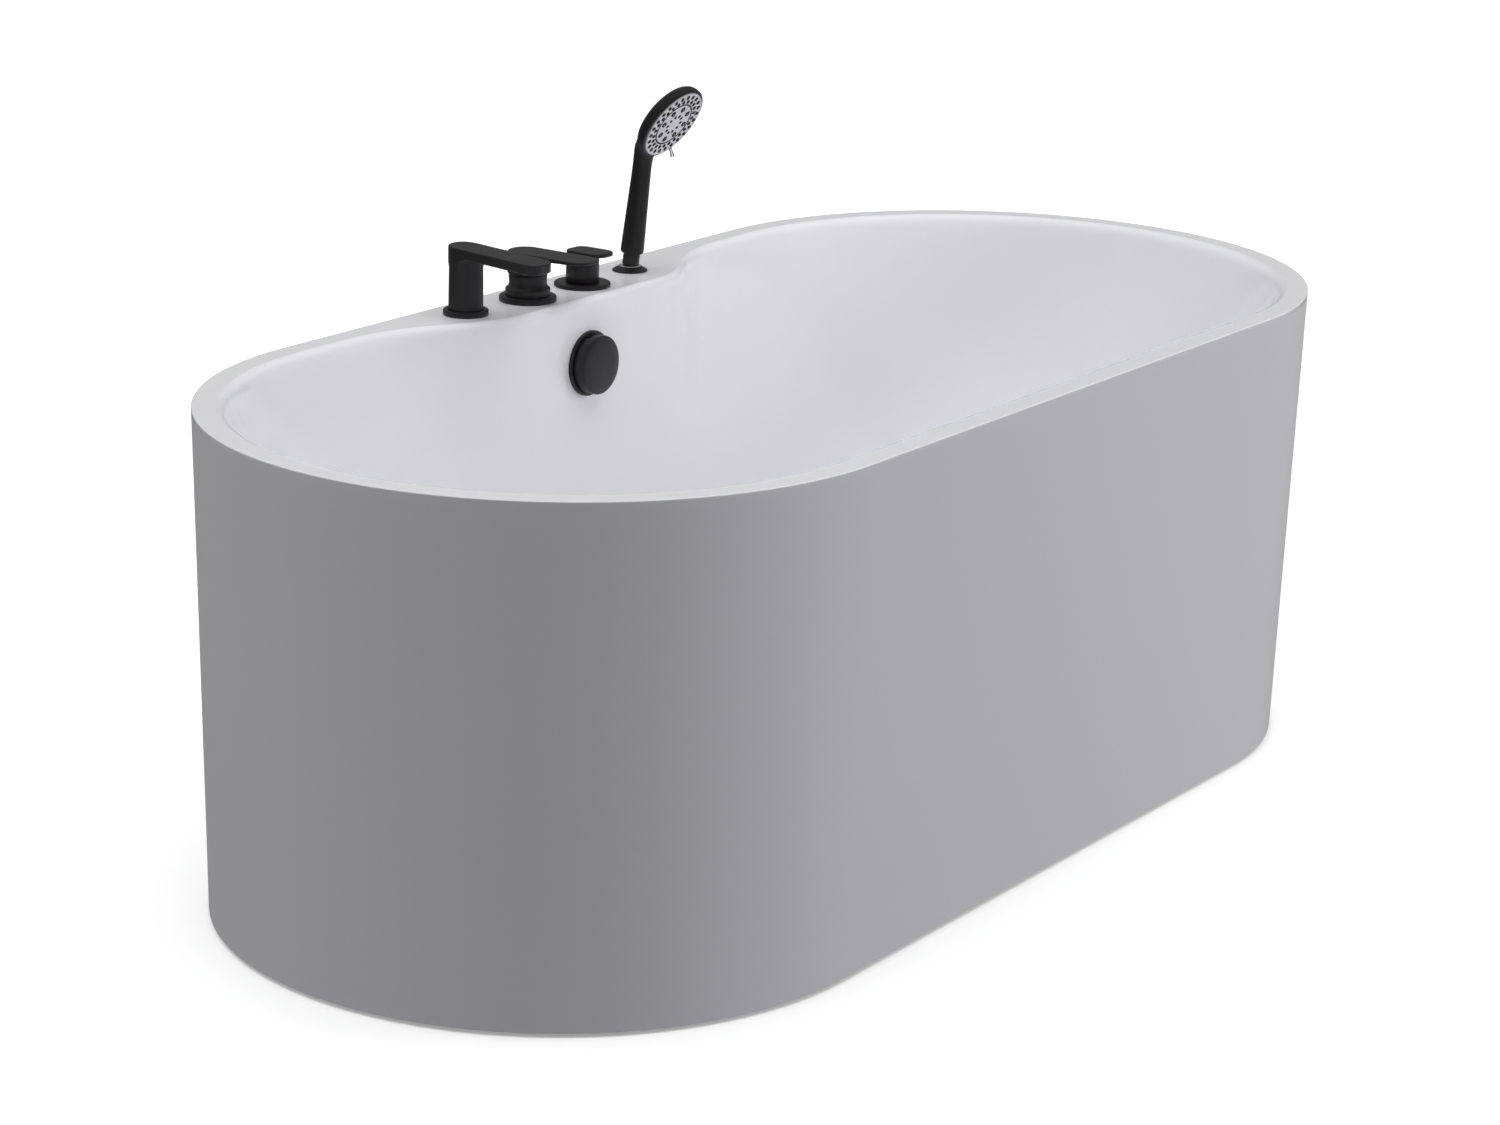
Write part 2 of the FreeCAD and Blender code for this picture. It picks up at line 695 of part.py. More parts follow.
# ---- mixer ------------------------------------------------------------------------
def make_mixer():
    deck = V(mixer_x, inner_row_y, tub_height)
    keep("mixer_flange", flange_ring(mixer_flange_radius, mixer_shank_radius + thread_gap,
                                     mixer_flange_height, mixer_flange_round, deck))
    step_low = mixer_flange_height
    step_high = step_low + mixer_step_height
    waist_high = step_high + mixer_waist_height
    body = turned([(0, -mixer_shank_length), (mixer_shank_radius, -mixer_shank_length),
                   (mixer_shank_radius, step_low), (mixer_step_radius, step_low),
                   (mixer_step_radius, step_high - soft_edge), (mixer_step_radius - soft_edge, step_high),
                   (mixer_foot_radius, step_high), (mixer_waist_radius, waist_high),
                   (0, waist_high)], deck)
    cartridge_low = waist_high - cartridge_depth
    body = body.cut(cylinder(cartridge_radius + thread_gap, cartridge_depth, deck + V(0, 0, cartridge_low)))
    keep("mixer_body", body)
    manifold_low = deck - V(0, 0, mixer_shank_length + manifold_height)
    manifold = rounded_plate(manifold_half_length, manifold_half_width, manifold_corner,
                             manifold_height, manifold_low)
    stubs, ways = [], []
    for side in (-1, 1):
        stub_low = manifold_low + V(side * inlet_offset, 0, -inlet_length)
        stubs.append(cylinder(inlet_radius, inlet_length, stub_low))
        ways.append(cylinder(inlet_bore, inlet_length + manifold_height / 2, stub_low))
    keep("mixer_manifold", manifold.fuse(stubs).cut(ways))
    cartridge = cylinder(cartridge_radius, cartridge_depth, deck + V(0, 0, cartridge_low))
    spindle_low = waist_high - mixer_spindle_depth
    keep("mixer_cartridge", cartridge.cut(cylinder(mixer_spindle_radius + running_gap, cartridge_depth,
                                                   deck + V(0, 0, spindle_low - seat_gap))))
    collar_low = waist_high + seat_gap
    collar_high = collar_low + mixer_collar_height
    collar = turned([(0, collar_low), (mixer_collar_radius - soft_edge, collar_low),
                     (mixer_collar_radius, collar_low + soft_edge),
                     (mixer_collar_radius, collar_high - soft_edge),
                     (mixer_collar_radius - soft_edge, collar_high), (0, collar_high)], deck)
    spindle = cylinder(mixer_spindle_radius, mixer_spindle_depth + collar_low - waist_high,
                       deck + V(0, 0, spindle_low))
    keep("mixer_spindle", spindle)
    pin_y = inner_row_y + lever_pin_back
    pin_z = tub_height + collar_high - lever_pin_depth
    lug_range = (mixer_x - lug_width / 2, mixer_x + lug_width / 2)
    pocket = block((lug_range[0] - seat_gap, lug_range[1] + seat_gap),
                   (pin_y - lug_radius - lug_room, pin_y + lug_radius + lug_room),
                   (pin_z - lug_radius - lug_room / 2, pin_z + 2 * lever_pin_depth))
    pin_length = lug_width + 2 * lever_pin_grip
    pin_base = V(mixer_x - pin_length / 2, pin_y, pin_z)
    keep("mixer_collar", collar.cut([pocket, cylinder(lever_pin_radius, pin_length, pin_base, ALONG)]))
    keep("mixer_pin", cylinder(lever_pin_radius, pin_length, pin_base, ALONG))

    lever_low = collar_high + lever_gap
    lever_high = lever_low + lever_root_thickness
    root_round = lever_root_half_width - soft_edge
    plan = rounded_outline([
        (mixer_x - lever_root_half_width, inner_row_y + lever_back, root_round),
        (mixer_x - lever_tip_half_width, inner_row_y - lever_reach, lever_tip_corner),
        (mixer_x + lever_tip_half_width, inner_row_y - lever_reach, lever_tip_corner),
        (mixer_x + lever_root_half_width, inner_row_y + lever_back, root_round)],
        tub_height + lever_low)
    paddle = Part.Face(plan).extrude(V(0, 0, lever_root_thickness))
    above = lever_high + lever_gap
    side = [(-2 * lever_back, above),
            (-2 * lever_back, lever_low + lever_back_relief * (2 * lever_back - lever_pin_back)),
            (-lever_pin_back, lever_low), (lever_back, lever_low),
            (lever_reach, lever_high - lever_tip_thickness),
            (2 * lever_reach, lever_high - lever_tip_thickness), (2 * lever_reach, above)]
    paddle = paddle.common(side_prism(side, mixer_x, inner_row_y, tub_height, 2 * lever_back))
    paddle = paddle.makeFillet(lever_top_round, edges_at(paddle, tub_height + lever_high))
    lug_base = V(lug_range[0], pin_y, pin_z)
    lug = cylinder(lug_radius, lug_width, lug_base, ALONG)
    web = block(lug_range, (pin_y - lug_radius, pin_y + lug_radius / 2),
                (pin_z, tub_height + lever_low + lever_root_thickness / 2))
    bore = cylinder(lever_pin_radius + running_gap, lug_width, lug_base, ALONG)
    keep("mixer_lever", paddle.fuse([lug, web]).cut(bore))
    washer_and_nut("mixer", mixer_x, inner_row_y, mixer_shank_radius)


# ---- diverter ---------------------------------------------------------------------
def make_diverter():
    deck = V(diverter_x, inner_row_y, tub_height)
    keep("diverter_flange", flange_ring(diverter_flange_radius, diverter_shank_radius + thread_gap,
                                        diverter_flange_height, diverter_flange_round, deck))
    neck_high = diverter_flange_height + diverter_sleeve_height / 2
    spindle_low = -diverter_shank_length / 2
    valve = turned([(0, -diverter_shank_length), (diverter_shank_radius, -diverter_shank_length),
                    (diverter_shank_radius, diverter_flange_height),
                    (diverter_neck_radius, diverter_flange_height),
                    (diverter_neck_radius, neck_high), (0, neck_high)], deck)
    keep("diverter_valve", valve.cut(cylinder(diverter_spindle_radius + running_gap, diverter_shank_length,
                                              deck + V(0, 0, spindle_low - seat_gap))))
    sleeve_low = diverter_flange_height + seat_gap
    sleeve_high = diverter_flange_height + diverter_sleeve_height
    inner = diverter_sleeve_radius - diverter_sleeve_wall
    roof = sleeve_high - diverter_sleeve_wall
    sleeve = turned([(inner, sleeve_low), (diverter_sleeve_radius, sleeve_low),
                     (diverter_sleeve_radius, sleeve_high), (diverter_spindle_radius, sleeve_high),
                     (diverter_spindle_radius, roof), (inner, roof)], deck)
    keep("diverter_sleeve", sleeve)
    keep("diverter_spindle", cylinder(diverter_spindle_radius, sleeve_high - spindle_low,
                                      deck + V(0, 0, spindle_low)))
    half = diverter_lever_half_width
    corner = diverter_lever_corner
    plan = rounded_outline([
        (diverter_x - half, inner_row_y + diverter_lever_back, corner),
        (diverter_x - half, inner_row_y - diverter_lever_reach, diverter_tip_corner),
        (diverter_x + half, inner_row_y - diverter_lever_reach, diverter_tip_corner),
        (diverter_x + half, inner_row_y + diverter_lever_back, corner)], tub_height + sleeve_high)
    lever = Part.Face(plan).extrude(V(0, 0, diverter_lever_thickness))
    lever = lever.makeFillet(diverter_lever_round,
                             edges_at(lever, tub_height + sleeve_high + diverter_lever_thickness))
    keep("diverter_lever", lever)
    washer_and_nut("diverter", diverter_x, inner_row_y, diverter_shank_radius)


# ---- hand shower ------------------------------------------------------------------
def make_handset():
    deck = V(handset_x, fittings_y, tub_height)
    lean = math.radians(handset_lean)
    axis = V(0, -math.sin(lean), math.cos(lean))

    def along(distance):
        return deck + axis * distance

    flange_top = holder_flange_height
    mouth = cylinder(stem_plug_radius + seat_gap, 4 * holder_socket_depth,
                     along(-2 * holder_socket_depth), axis)
    flange = turned([(0, 0), (holder_flange_radius, 0), (holder_flange_radius, holder_lip),
                     (holder_top_radius, flange_top), (0, flange_top)], deck)
    keep("holder_flange", flange.cut(mouth))
    ring = cylinder(holder_ring_radius, holder_ring_height, deck + V(0, 0, flange_top))
    keep("holder_ring", ring.cut(mouth))
    shank_low = deck - V(0, 0, holder_shank_length)
    shank = cylinder(holder_shank_radius, holder_shank_length, shank_low)
    hose_way = cylinder(holder_shank_radius - shank_wall, holder_shank_length - holder_socket_depth,
                        shank_low)
    keep("holder_shank", shank.cut([mouth, hose_way]))
    washer_and_nut("holder", handset_x, fittings_y, holder_shank_radius)

    stem_low = flange_top + holder_ring_height + stem_stand
    stem_high = stem_low + stem_height
    plug_low = along(-stem_plug_depth)
    plug = cylinder(stem_plug_radius, stem_plug_depth + stem_low, plug_low, axis)
    stem = cylinder(stem_radius, stem_height, along(stem_low), axis)
    keep("handset_stem", plug.fuse(stem).cut(cylinder(hose_bore, holder_socket_depth, plug_low, axis)))

    face_centre = deck + V(0, -head_forward, head_rise)
    tilt = math.radians(head_tilt)
    look = V(0, -math.cos(tilt), -math.sin(tilt))
    rise = V(0, -math.sin(tilt), math.cos(tilt))
    dome = turned([(0, -head_depth), (head_back_radius, -head_depth),
                   (head_radius, -head_rim, head_back_bow), (head_radius, -soft_edge),
                   (head_radius - soft_edge, 0), (0, 0)], face_centre, look)
    handle = Part.makeCone(handle_foot_radius, handle_neck_radius, handle_length, along(stem_high), axis)
    taper = (handle_foot_radius - handle_neck_radius) / handle_length
    sections = []
    for beyond in (0.0, neck_start):
        circle = Part.Circle(along(stem_high + handle_length + beyond), axis,
                             handle_neck_radius - taper * beyond)
        sections.append(Part.Wire([circle.toShape()]))
    for back, drop, half_width, half_depth, turn in neck_ovals:
        normal = axis * (1 - turn) + rise * turn
        normal.normalize()
        oval = Part.Ellipse(V(0, 0, 0), half_width, half_depth).toShape()
        oval.Placement = FreeCAD.Placement(face_centre - look * back - rise * drop,
                                           FreeCAD.Rotation(ALONG, V(0, 0, 0), normal, "ZXY"))
        sections.append(Part.Wire([oval]))
    neck = Part.makeLoft(sections, True, False)
    recess = cylinder(face_radius + seat_gap, 2 * face_thickness, face_centre - look * face_thickness, look)
    in_front = cylinder(head_radius, 4 * head_depth, face_centre, look)
    keep("handset_body", handle.fuse([neck, dome]).cut([recess, in_front]))

    face_low = face_centre - look * (face_thickness - seat_gap)
    face_height = face_thickness - seat_gap + face_proud
    face = turned([(0, 0), (face_radius, 0), (face_radius, face_height - face_edge),
                   (face_radius - face_edge, face_height), (0, face_height)], face_low, look)
    keep("spray_face", face)
    nozzles = []
    for ring_radius, count in zip(nozzle_ring_radii, nozzle_counts):
        for k in range(count):
            angle = 2 * math.pi * k / count
            across = ALONG * math.sin(angle) + rise * math.cos(angle)
            spot = face_centre + look * face_proud + across * ring_radius
            nozzles.append(cylinder(nozzle_radius, nozzle_stand, spot, look))
    keep("spray_nozzles", Part.makeCompound(nozzles))

    # The pin that turns the face, leaning out over its edge.
    turn = math.radians(selector_angle)
    outward = ALONG * (-math.sin(turn)) - rise * math.cos(turn)
    lean_out = math.radians(selector_tilt)
    direction = outward * math.cos(lean_out) + look * math.sin(lean_out)
    root = face_centre + outward * (face_radius - selector_inset) + look * (face_proud + selector_stand)
    pin = cylinder(selector_radius, selector_length, root, direction)
    tip = Part.makeSphere(selector_radius, root + direction * selector_length)
    keep("spray_selector", pin.fuse(tip).cut(face))


# ---- overflow and drain -----------------------------------------------------------
def make_overflow():
    wall = V(fittings_x, overflow_wall_y, overflow_height)
    gasket_front = deck_edge + bowl_wall
    body_front = gasket_front + gasket_thickness
    body_back = body_front + overflow_body_depth
    spindle_bore = cylinder(spindle_radius + running_gap, overflow_body_depth + knob_height,
                            V(fittings_x, body_back - socket_wall, overflow_height), TO_BATHER)
    flange = turned([(0, 0), (overflow_flange_radius, 0),
                     (overflow_flange_radius, overflow_flange_thickness - soft_edge),
                     (overflow_flange_radius - soft_edge, overflow_flange_thickness),
                     (0, overflow_flange_thickness)], wall, TO_BATHER)
    windows = []
    for k in range(window_count):
        angle = 2 * math.pi * (k + 0.5) / window_count
        reach = (hub_radius + overflow_hole_radius) / 2
        spot = wall + V(reach * math.cos(angle), 0, reach * math.sin(angle))
        windows.append(cylinder((overflow_hole_radius - hub_radius) / 2 - soft_edge,
                                overflow_flange_thickness, spot, TO_BATHER))
    spigot_length = bowl_wall + gasket_thickness + spigot_grip
    spigot = tube(overflow_hole_radius, overflow_hole_radius - spigot_wall, spigot_length,
                  wall + V(0, spigot_length, 0), TO_BATHER)
    keep("overflow_flange", flange.fuse(spigot).cut(windows + [spindle_bore]))

    knob_low = overflow_flange_thickness + seat_gap
    knob_high = overflow_flange_thickness + knob_height
    shoulder = knob_high - knob_crown - knob_edge
    inner = knob_radius - knob_wall
    cap = knob_high - knob_wall - knob_crown
    knob = turned([(inner, knob_low), (knob_radius, knob_low), (knob_radius, shoulder),
                   (knob_radius - knob_edge, shoulder + knob_edge, knob_edge / 4),
                   (0, knob_high, crown_bow(knob_radius - knob_edge, knob_crown)),
                   (0, knob_low + hub_low), (hub_radius, knob_low + hub_low),
                   (hub_radius, cap), (inner, cap)], wall, TO_BATHER)
    slots = []
    slot_near = overflow_wall_y - knob_low
    for side in (-1, 1):
        z_range = sorted((overflow_height + side * (knob_radius - knob_slot_bite),
                          overflow_height + side * overflow_flange_radius))
        slots.append(block((fittings_x - knob_slot_width / 2, fittings_x + knob_slot_width / 2),
                           (slot_near - knob_slot_depth, slot_near), z_range))
    grip_low = knob_low + hub_low
    grip = cylinder(spindle_radius, spindle_grip, wall - V(0, grip_low, 0), TO_BATHER)
    keep("overflow_knob", knob.cut(slots + [grip]))
    spindle_back = spigot_length + seat_gap
    keep("overflow_spindle", cylinder(spindle_radius, spindle_back + grip_low + spindle_grip,
                                      wall + V(0, spindle_back, 0), TO_BATHER))

    keep("overflow_gasket", tube(overflow_body_radius, overflow_hole_radius + hole_gap, gasket_thickness,
                                 V(fittings_x, body_front, overflow_height), TO_BATHER))
    case = cylinder(overflow_body_radius, overflow_body_depth, V(fittings_x, body_back, overflow_height),
                    TO_BATHER)
    hollow = cylinder(overflow_hole_radius + thread_gap, overflow_body_depth - socket_wall,
                      V(fittings_x, body_back - socket_wall, overflow_height), TO_BATHER)
    pipe_y = (body_front + body_back) / 2
    socket_low = V(fittings_x, pipe_y, overflow_height - overflow_body_radius - socket_drop)
    socket_height = overflow_body_radius + socket_drop
    socket = cylinder(pipe_radius + socket_wall, socket_height, socket_low)
    way = cylinder(pipe_radius - pipe_wall, socket_height, socket_low)
    seat = cylinder(pipe_radius + thread_gap, socket_depth, socket_low)
    keep("overflow_body", case.fuse(socket).cut([hollow, way, seat]))

    tee_face = drain_cup_outer() + socket_depth
    top = socket_low + V(0, 0, socket_depth)
    bend_start = V(fittings_x, pipe_y, pipe_level + pipe_bend)
    bend_end = V(fittings_x, pipe_y - pipe_bend, pipe_level)
    corner = pipe_bend * (1 - math.sqrt(0.5))
    bend_middle = V(fittings_x, pipe_y - corner, pipe_level + corner)
    end = V(fittings_x, tee_face - socket_depth + pipe_stop, pipe_level)
    path = Part.Wire([Part.LineSegment(top, bend_start).toShape(),
                      Part.Arc(bend_start, bend_middle, bend_end).toShape(),
                      Part.LineSegment(bend_end, end).toShape()])

    def run(radius):
        section = Part.Wire([Part.Circle(top, DOWN, radius).toShape()])
        return path.makePipeShell([section], True, False)

    keep("overflow_pipe", run(pipe_radius).cut(run(pipe_radius - pipe_wall)))


def drain_cup_outer():
    return drain_thread_radius + thread_gap + drain_cup_wall


def make_drain():
    floor = V(fittings_x, 0, bowl_floor_height)
    flange = turned([(drain_bore_radius, -drain_tube_length), (drain_thread_radius, -drain_tube_length),
                     (drain_thread_radius, 0), (drain_flange_radius, 0),
                     (drain_flange_radius - soft_edge, drain_flange_thickness),
                     (drain_bore_radius + soft_edge, drain_flange_thickness),
                     (drain_bore_radius, drain_flange_thickness - soft_edge)], floor)
    hub_low = floor - V(0, 0, drain_tube_length / 2)
    spokes = []
    for k in range(3):
        spoke = block((fittings_x, fittings_x + drain_bore_radius + soft_edge),
                      (-drain_spoke_width / 2, drain_spoke_width / 2),
                      (hub_low.z, hub_low.z + drain_hub_height))
        spokes.append(spoke.rotate(floor, UP, 30 + 120 * k))
    hub = cylinder(drain_hub_radius, drain_hub_height, hub_low)
    flange = flange.fuse(spokes + [hub])
    stem_bore = cylinder(plug_stem_radius + running_gap, 2 * drain_tube_length,
                         floor - V(0, 0, drain_tube_length))
    keep("drain_flange", flange.cut(stem_bore))

    collar_top = board_top - gasket_thickness
    keep("drain_gasket", tube(drain_collar_radius, drain_thread_radius + hole_gap, gasket_thickness,
                              V(fittings_x, 0, collar_top)))
    bore = drain_thread_radius + thread_gap
    outer = drain_cup_outer()
    low = drain_cup_floor
    collar_under = collar_top - drain_collar_thickness
    way_radius = outlet_radius - outlet_wall
    cup = turned([(way_radius, outlet_end), (outlet_radius, outlet_end), (outlet_radius, low), (outer, low),
                  (outer, collar_under), (drain_collar_radius, collar_under),
                  (drain_collar_radius, collar_top), (bore, collar_top), (bore, low + drain_cup_wall),
                  (way_radius, low + drain_cup_wall)], V(fittings_x, 0, 0))
    socket_base = V(fittings_x, outer + socket_depth, pipe_level)
    socket = cylinder(pipe_radius + socket_wall, socket_depth + drain_cup_wall, socket_base, TO_BATHER)
    inner_cut = cylinder(bore, collar_top - low - drain_cup_wall, V(fittings_x, 0, low + drain_cup_wall))
    seat = cylinder(pipe_radius + thread_gap, socket_depth - pipe_stop, socket_base, TO_BATHER)
    way = cylinder(pipe_radius - pipe_wall, socket_depth + 2 * drain_cup_wall, socket_base, TO_BATHER)
    keep("drain_body", cup.fuse(socket.cut(inner_cut)).cut([seat, way]))

    seal_low = drain_flange_thickness + seat_gap
    seal_high = seal_low + seal_height
    keep("plug_seal", tube(seal_outer_radius, seal_inner_radius, seal_height, floor + V(0, 0, seal_low)))
    plug_high = seal_high + plug_thickness
    shoulder = plug_high - plug_crown
    plug = turned([(0, seal_high), (plug_radius - plug_edge, seal_high),
                   (plug_radius, seal_high + plug_edge, plug_edge / 4),
                   (plug_radius, shoulder - plug_edge / 2),
                   (plug_radius - plug_edge, shoulder, plug_edge / 4),
                   (0, plug_high, crown_bow(plug_radius - plug_edge, plug_crown))], floor)
    keep("plug_cap", plug)
    keep("plug_stem", cylinder(plug_stem_radius, plug_stem_length,
                               floor + V(0, 0, seal_high - plug_stem_length)))


inside_of_skirt = make_tub()
make_base(inside_of_skirt)
make_spout()
make_mixer()
make_diverter()
make_handset()
make_overflow()
make_drain()

os.makedirs("parts", exist_ok=True)
for name, shape in nodes.items():
    if not shape.isValid() or shape.Volume <= 0:
        raise ValueError("bad solid: " + name)
    shape.exportStep(os.path.join("parts", name + ".step"))
    box = shape.BoundBox
    print(f"{name:18s} solids {len(shape.Solids):2d}  volume {shape.Volume / 1000:9.1f} cm3  "
          f"x {box.XMin:7.1f} {box.XMax:7.1f}  y {box.YMin:7.1f} {box.YMax:7.1f}  "
          f"z {box.ZMin:6.1f} {box.ZMax:6.1f}")
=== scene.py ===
import bmesh
import bpy
import json
import math
from mathutils import Euler, Matrix, Vector


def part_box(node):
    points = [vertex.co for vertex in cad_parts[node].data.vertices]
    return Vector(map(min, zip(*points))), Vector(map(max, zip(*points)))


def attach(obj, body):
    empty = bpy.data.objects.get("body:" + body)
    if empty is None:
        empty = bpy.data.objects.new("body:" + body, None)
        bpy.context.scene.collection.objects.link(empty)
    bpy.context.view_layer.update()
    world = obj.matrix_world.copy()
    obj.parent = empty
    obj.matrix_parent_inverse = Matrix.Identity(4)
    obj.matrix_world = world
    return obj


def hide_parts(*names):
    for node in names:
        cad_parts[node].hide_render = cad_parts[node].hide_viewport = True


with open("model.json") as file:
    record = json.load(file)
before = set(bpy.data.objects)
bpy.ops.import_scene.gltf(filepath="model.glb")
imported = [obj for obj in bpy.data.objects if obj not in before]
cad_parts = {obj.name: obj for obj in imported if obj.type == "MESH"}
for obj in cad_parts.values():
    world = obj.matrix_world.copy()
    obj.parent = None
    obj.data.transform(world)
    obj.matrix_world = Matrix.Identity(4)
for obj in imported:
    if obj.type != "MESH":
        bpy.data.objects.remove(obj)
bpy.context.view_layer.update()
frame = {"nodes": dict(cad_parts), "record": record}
nodes = frame["nodes"]
joints = {joint["name"]: joint for joint in frame["record"]["behaviour"]["joints"]}
mm = 0.001
print("frame loaded:", len(nodes), "nodes")


def linearColour(code):
    # "#rrggbb" as an artist reads it, turned to the values that shaders take
    parts = [int(code[k:k + 2], 16) / 255 for k in (1, 3, 5)]
    linear = [p / 12.92 if p <= 0.04045 else ((p + 0.055) / 1.055) ** 2.4 for p in parts]
    return (*linear, 1.0)


def addNode(tree, kind, sockets=None, **settings):
    # one node: settings are its properties, sockets are values or other nodes' outputs
    node = tree.nodes.new("ShaderNode" + kind)
    for name, value in settings.items():
        setattr(node, name, value)
    for name, value in (sockets or {}).items():
        if isinstance(value, bpy.types.NodeSocket):
            tree.links.new(value, node.inputs[name])
        else:
            node.inputs[name].default_value = value
    return node


def newMaterial(name, **shaderValues):
    # a material with its Principled shader set, ready for a pattern
    material = bpy.data.materials.new(name)
    material.use_nodes = True
    shader = material.node_tree.nodes["Principled BSDF"]
    for socket, value in shaderValues.items():
        shader.inputs[socket.replace("_", " ")].default_value = value
    return material, material.node_tree, shader


camera = {
    "place": (-3.7365, -2.4835, 1.6150),
    "heading": 55.835,      # degrees from +Y towards +X
    "lookDown": 16.387,     # degrees below the horizon
    "roll": 1.581,          # degrees
    "lens": 93.49,          # mm, on a sensor 36 mm wide
    "sensor": 36.0,
}


def placeCamera():
    data = bpy.data.cameras.new("camera")
    data.lens = camera["lens"]
    data.sensor_width = camera["sensor"]
    eye = bpy.data.objects.new("camera", data)
    bpy.context.scene.collection.objects.link(eye)
    tilt = math.pi / 2 - math.radians(camera["lookDown"])
    aim = Euler((tilt, 0, -math.radians(camera["heading"]))).to_matrix()
    turned = aim @ Matrix.Rotation(math.radians(camera["roll"]), 3, "Z")
    eye.matrix_world = Matrix.Translation(camera["place"]) @ turned.to_4x4()
    bpy.context.scene.camera = eye


placeCamera()
print("camera placed")


studio = {
    "floorSize": 60.0,         # metres, as are the lights' places, aims and sizes
    "floorColour": "#f2f2f2",
    "floorRoughness": 0.9,
    "floorGlow": 0.3,          # evens the floor out to a pale backdrop
    "surround": "#ffffff",
    "ambient": 0.09,
    "mirroredLow": 0.20,       # the surround as glossy faces see it, at the horizon
    "mirroredHigh": 0.45,      # and overhead
    "backdrop": 1.0,           # the surround as the camera sees it
    # a wide soft light from above, whose aim is a direction, and soft boxes that aim at a point:
    # one for the skirt's long side, and two behind
    "overhead": {"aim": (0.15, 0.01, -1.0), "spread": 84, "power": 2.5},
    "flank": {"place": (2.7, -4.1, 1.5), "aim": (0.1, 0, 0.35), "size": (2.4, 2.0), "power": 95},
    "tail": {"place": (-2.4, 3.6, 1.4), "aim": (-0.6, 0, 0.35), "size": (1.6, 1.6), "power": 16},
    "rear": {"place": (2.2, 4.2, 1.5), "aim": (0.4, 0, 0.35), "size": (2.4, 2.0), "power": 26},
}


def addPanelLight(name, place, aim, size, power):
    data = bpy.data.lights.new(name, "AREA")
    data.shape = "RECTANGLE"
    data.size, data.size_y = size
    data.energy = power
    lamp = bpy.data.objects.new(name, data)
    bpy.context.scene.collection.objects.link(lamp)
    lamp.location = place
    lamp.rotation_euler = (Vector(aim) - Vector(place)).to_track_quat("-Z", "Y").to_euler()
    lamp.visible_glossy = False     # a soft box without its mirror image in the gloss


def setLights():
    overhead = studio["overhead"]
    data = bpy.data.lights.new("overheadSoftLight", "SUN")
    data.angle = math.radians(overhead["spread"])
    data.energy = overhead["power"]
    lamp = bpy.data.objects.new("overheadSoftLight", data)
    bpy.context.scene.collection.objects.link(lamp)
    lamp.rotation_euler = Vector(overhead["aim"]).to_track_quat("-Z", "Y").to_euler()
    lamp.visible_glossy = False
    for name in ("flank", "tail", "rear"):
        addPanelLight(name + "Light", **studio[name])


def setWorld():
    # a dim even surround lights the tub, gloss mirrors a paler one, and the backdrop stays white
    world = bpy.data.worlds.new("studioWorld")
    bpy.context.scene.world = world
    world.use_nodes = True
    tree = world.node_tree
    ambient = tree.nodes["Background"]
    white = linearColour(studio["surround"])
    ambient.inputs["Color"].default_value = white
    backdrop = addNode(tree, "Background", {"Color": white, "Strength": studio["backdrop"]})
    ray = addNode(tree, "LightPath")
    sky = addNode(tree, "SeparateXYZ", {0: addNode(tree, "TexCoord").outputs["Generated"]})
    mirrored = addNode(tree, "MapRange", {"Value": sky.outputs["Z"],
                                          "To Min": studio["mirroredLow"],
                                          "To Max": studio["mirroredHigh"]})
    glow = addNode(tree, "Mix", {0: ray.outputs["Is Glossy Ray"], 2: studio["ambient"],
                                 3: mirrored.outputs["Result"]})
    tree.links.new(glow.outputs[0], ambient.inputs["Strength"])
    mix = addNode(tree, "MixShader", {0: ray.outputs["Is Camera Ray"], 1: ambient.outputs[0],
                                      2: backdrop.outputs[0]})
    tree.links.new(mix.outputs[0], tree.nodes["World Output"].inputs["Surface"])
    bpy.context.scene.view_settings.view_transform = "Standard"


def setFloor():
    bpy.ops.mesh.primitive_plane_add(size=studio["floorSize"], location=(0, 0, 0))
    floor = bpy.context.active_object
    floor.name = "floor"
    # a painted backdrop board: matt, pale and even
    material = newMaterial("paleStudioFloor", Roughness=studio["floorRoughness"],
                           Base_Color=linearColour(studio["floorColour"]),
                           Emission_Color=linearColour(studio["surround"]),
                           Emission_Strength=studio["floorGlow"])[0]
    floor.data.materials.append(material)
    floor.visible_diffuse = False
    floor.visible_glossy = False


setLights()
setWorld()
setFloor()
print("studio lit")


def coatWith(tree, shader, tone, grain, tones, rough, depth=0.0):
    # two patterns make the finish: tone blends the colours, grain sets roughness and relief,
    # whose depth is in mm; most of a noise lies between 0.3 and 0.7
    colours = {0: tone, 6: linearColour(tones[0]), 7: linearColour(tones[1])}
    colour = addNode(tree, "Mix", colours, data_type="RGBA").outputs[2]
    tree.links.new(colour, shader.inputs["Base Color"])
    stretched = addNode(tree, "MapRange", {"Value": grain, "From Min": 0.3, "From Max": 0.7,
                                           "To Min": rough[0], "To Max": rough[1]})
    tree.links.new(stretched.outputs["Result"], shader.inputs["Roughness"])
    if depth:
        relief = addNode(tree, "Bump", {"Height": grain, "Distance": depth * mm, "Strength": 1.0})
        tree.links.new(relief.outputs["Normal"], shader.inputs["Normal"])


def grainedMaterial(name, tones, rough, cloud, grain, depth=0.0, detail=2.0, **shaderValues):
    # a skin with a fine grain under a slow drift of colour: cloud and grain are sizes in mm
    material, tree, shader = newMaterial(name, **shaderValues)
    place = addNode(tree, "TexCoord").outputs["Object"]
    drift = addNode(tree, "TexNoise", {"Vector": place, "Scale": 1 / (cloud * mm)})
    fine = addNode(tree, "TexNoise", {"Vector": place, "Scale": 1 / (grain * mm), "Detail": detail})
    coatWith(tree, shader, drift.outputs["Fac"], fine.outputs["Fac"], tones, rough, depth)
    return material


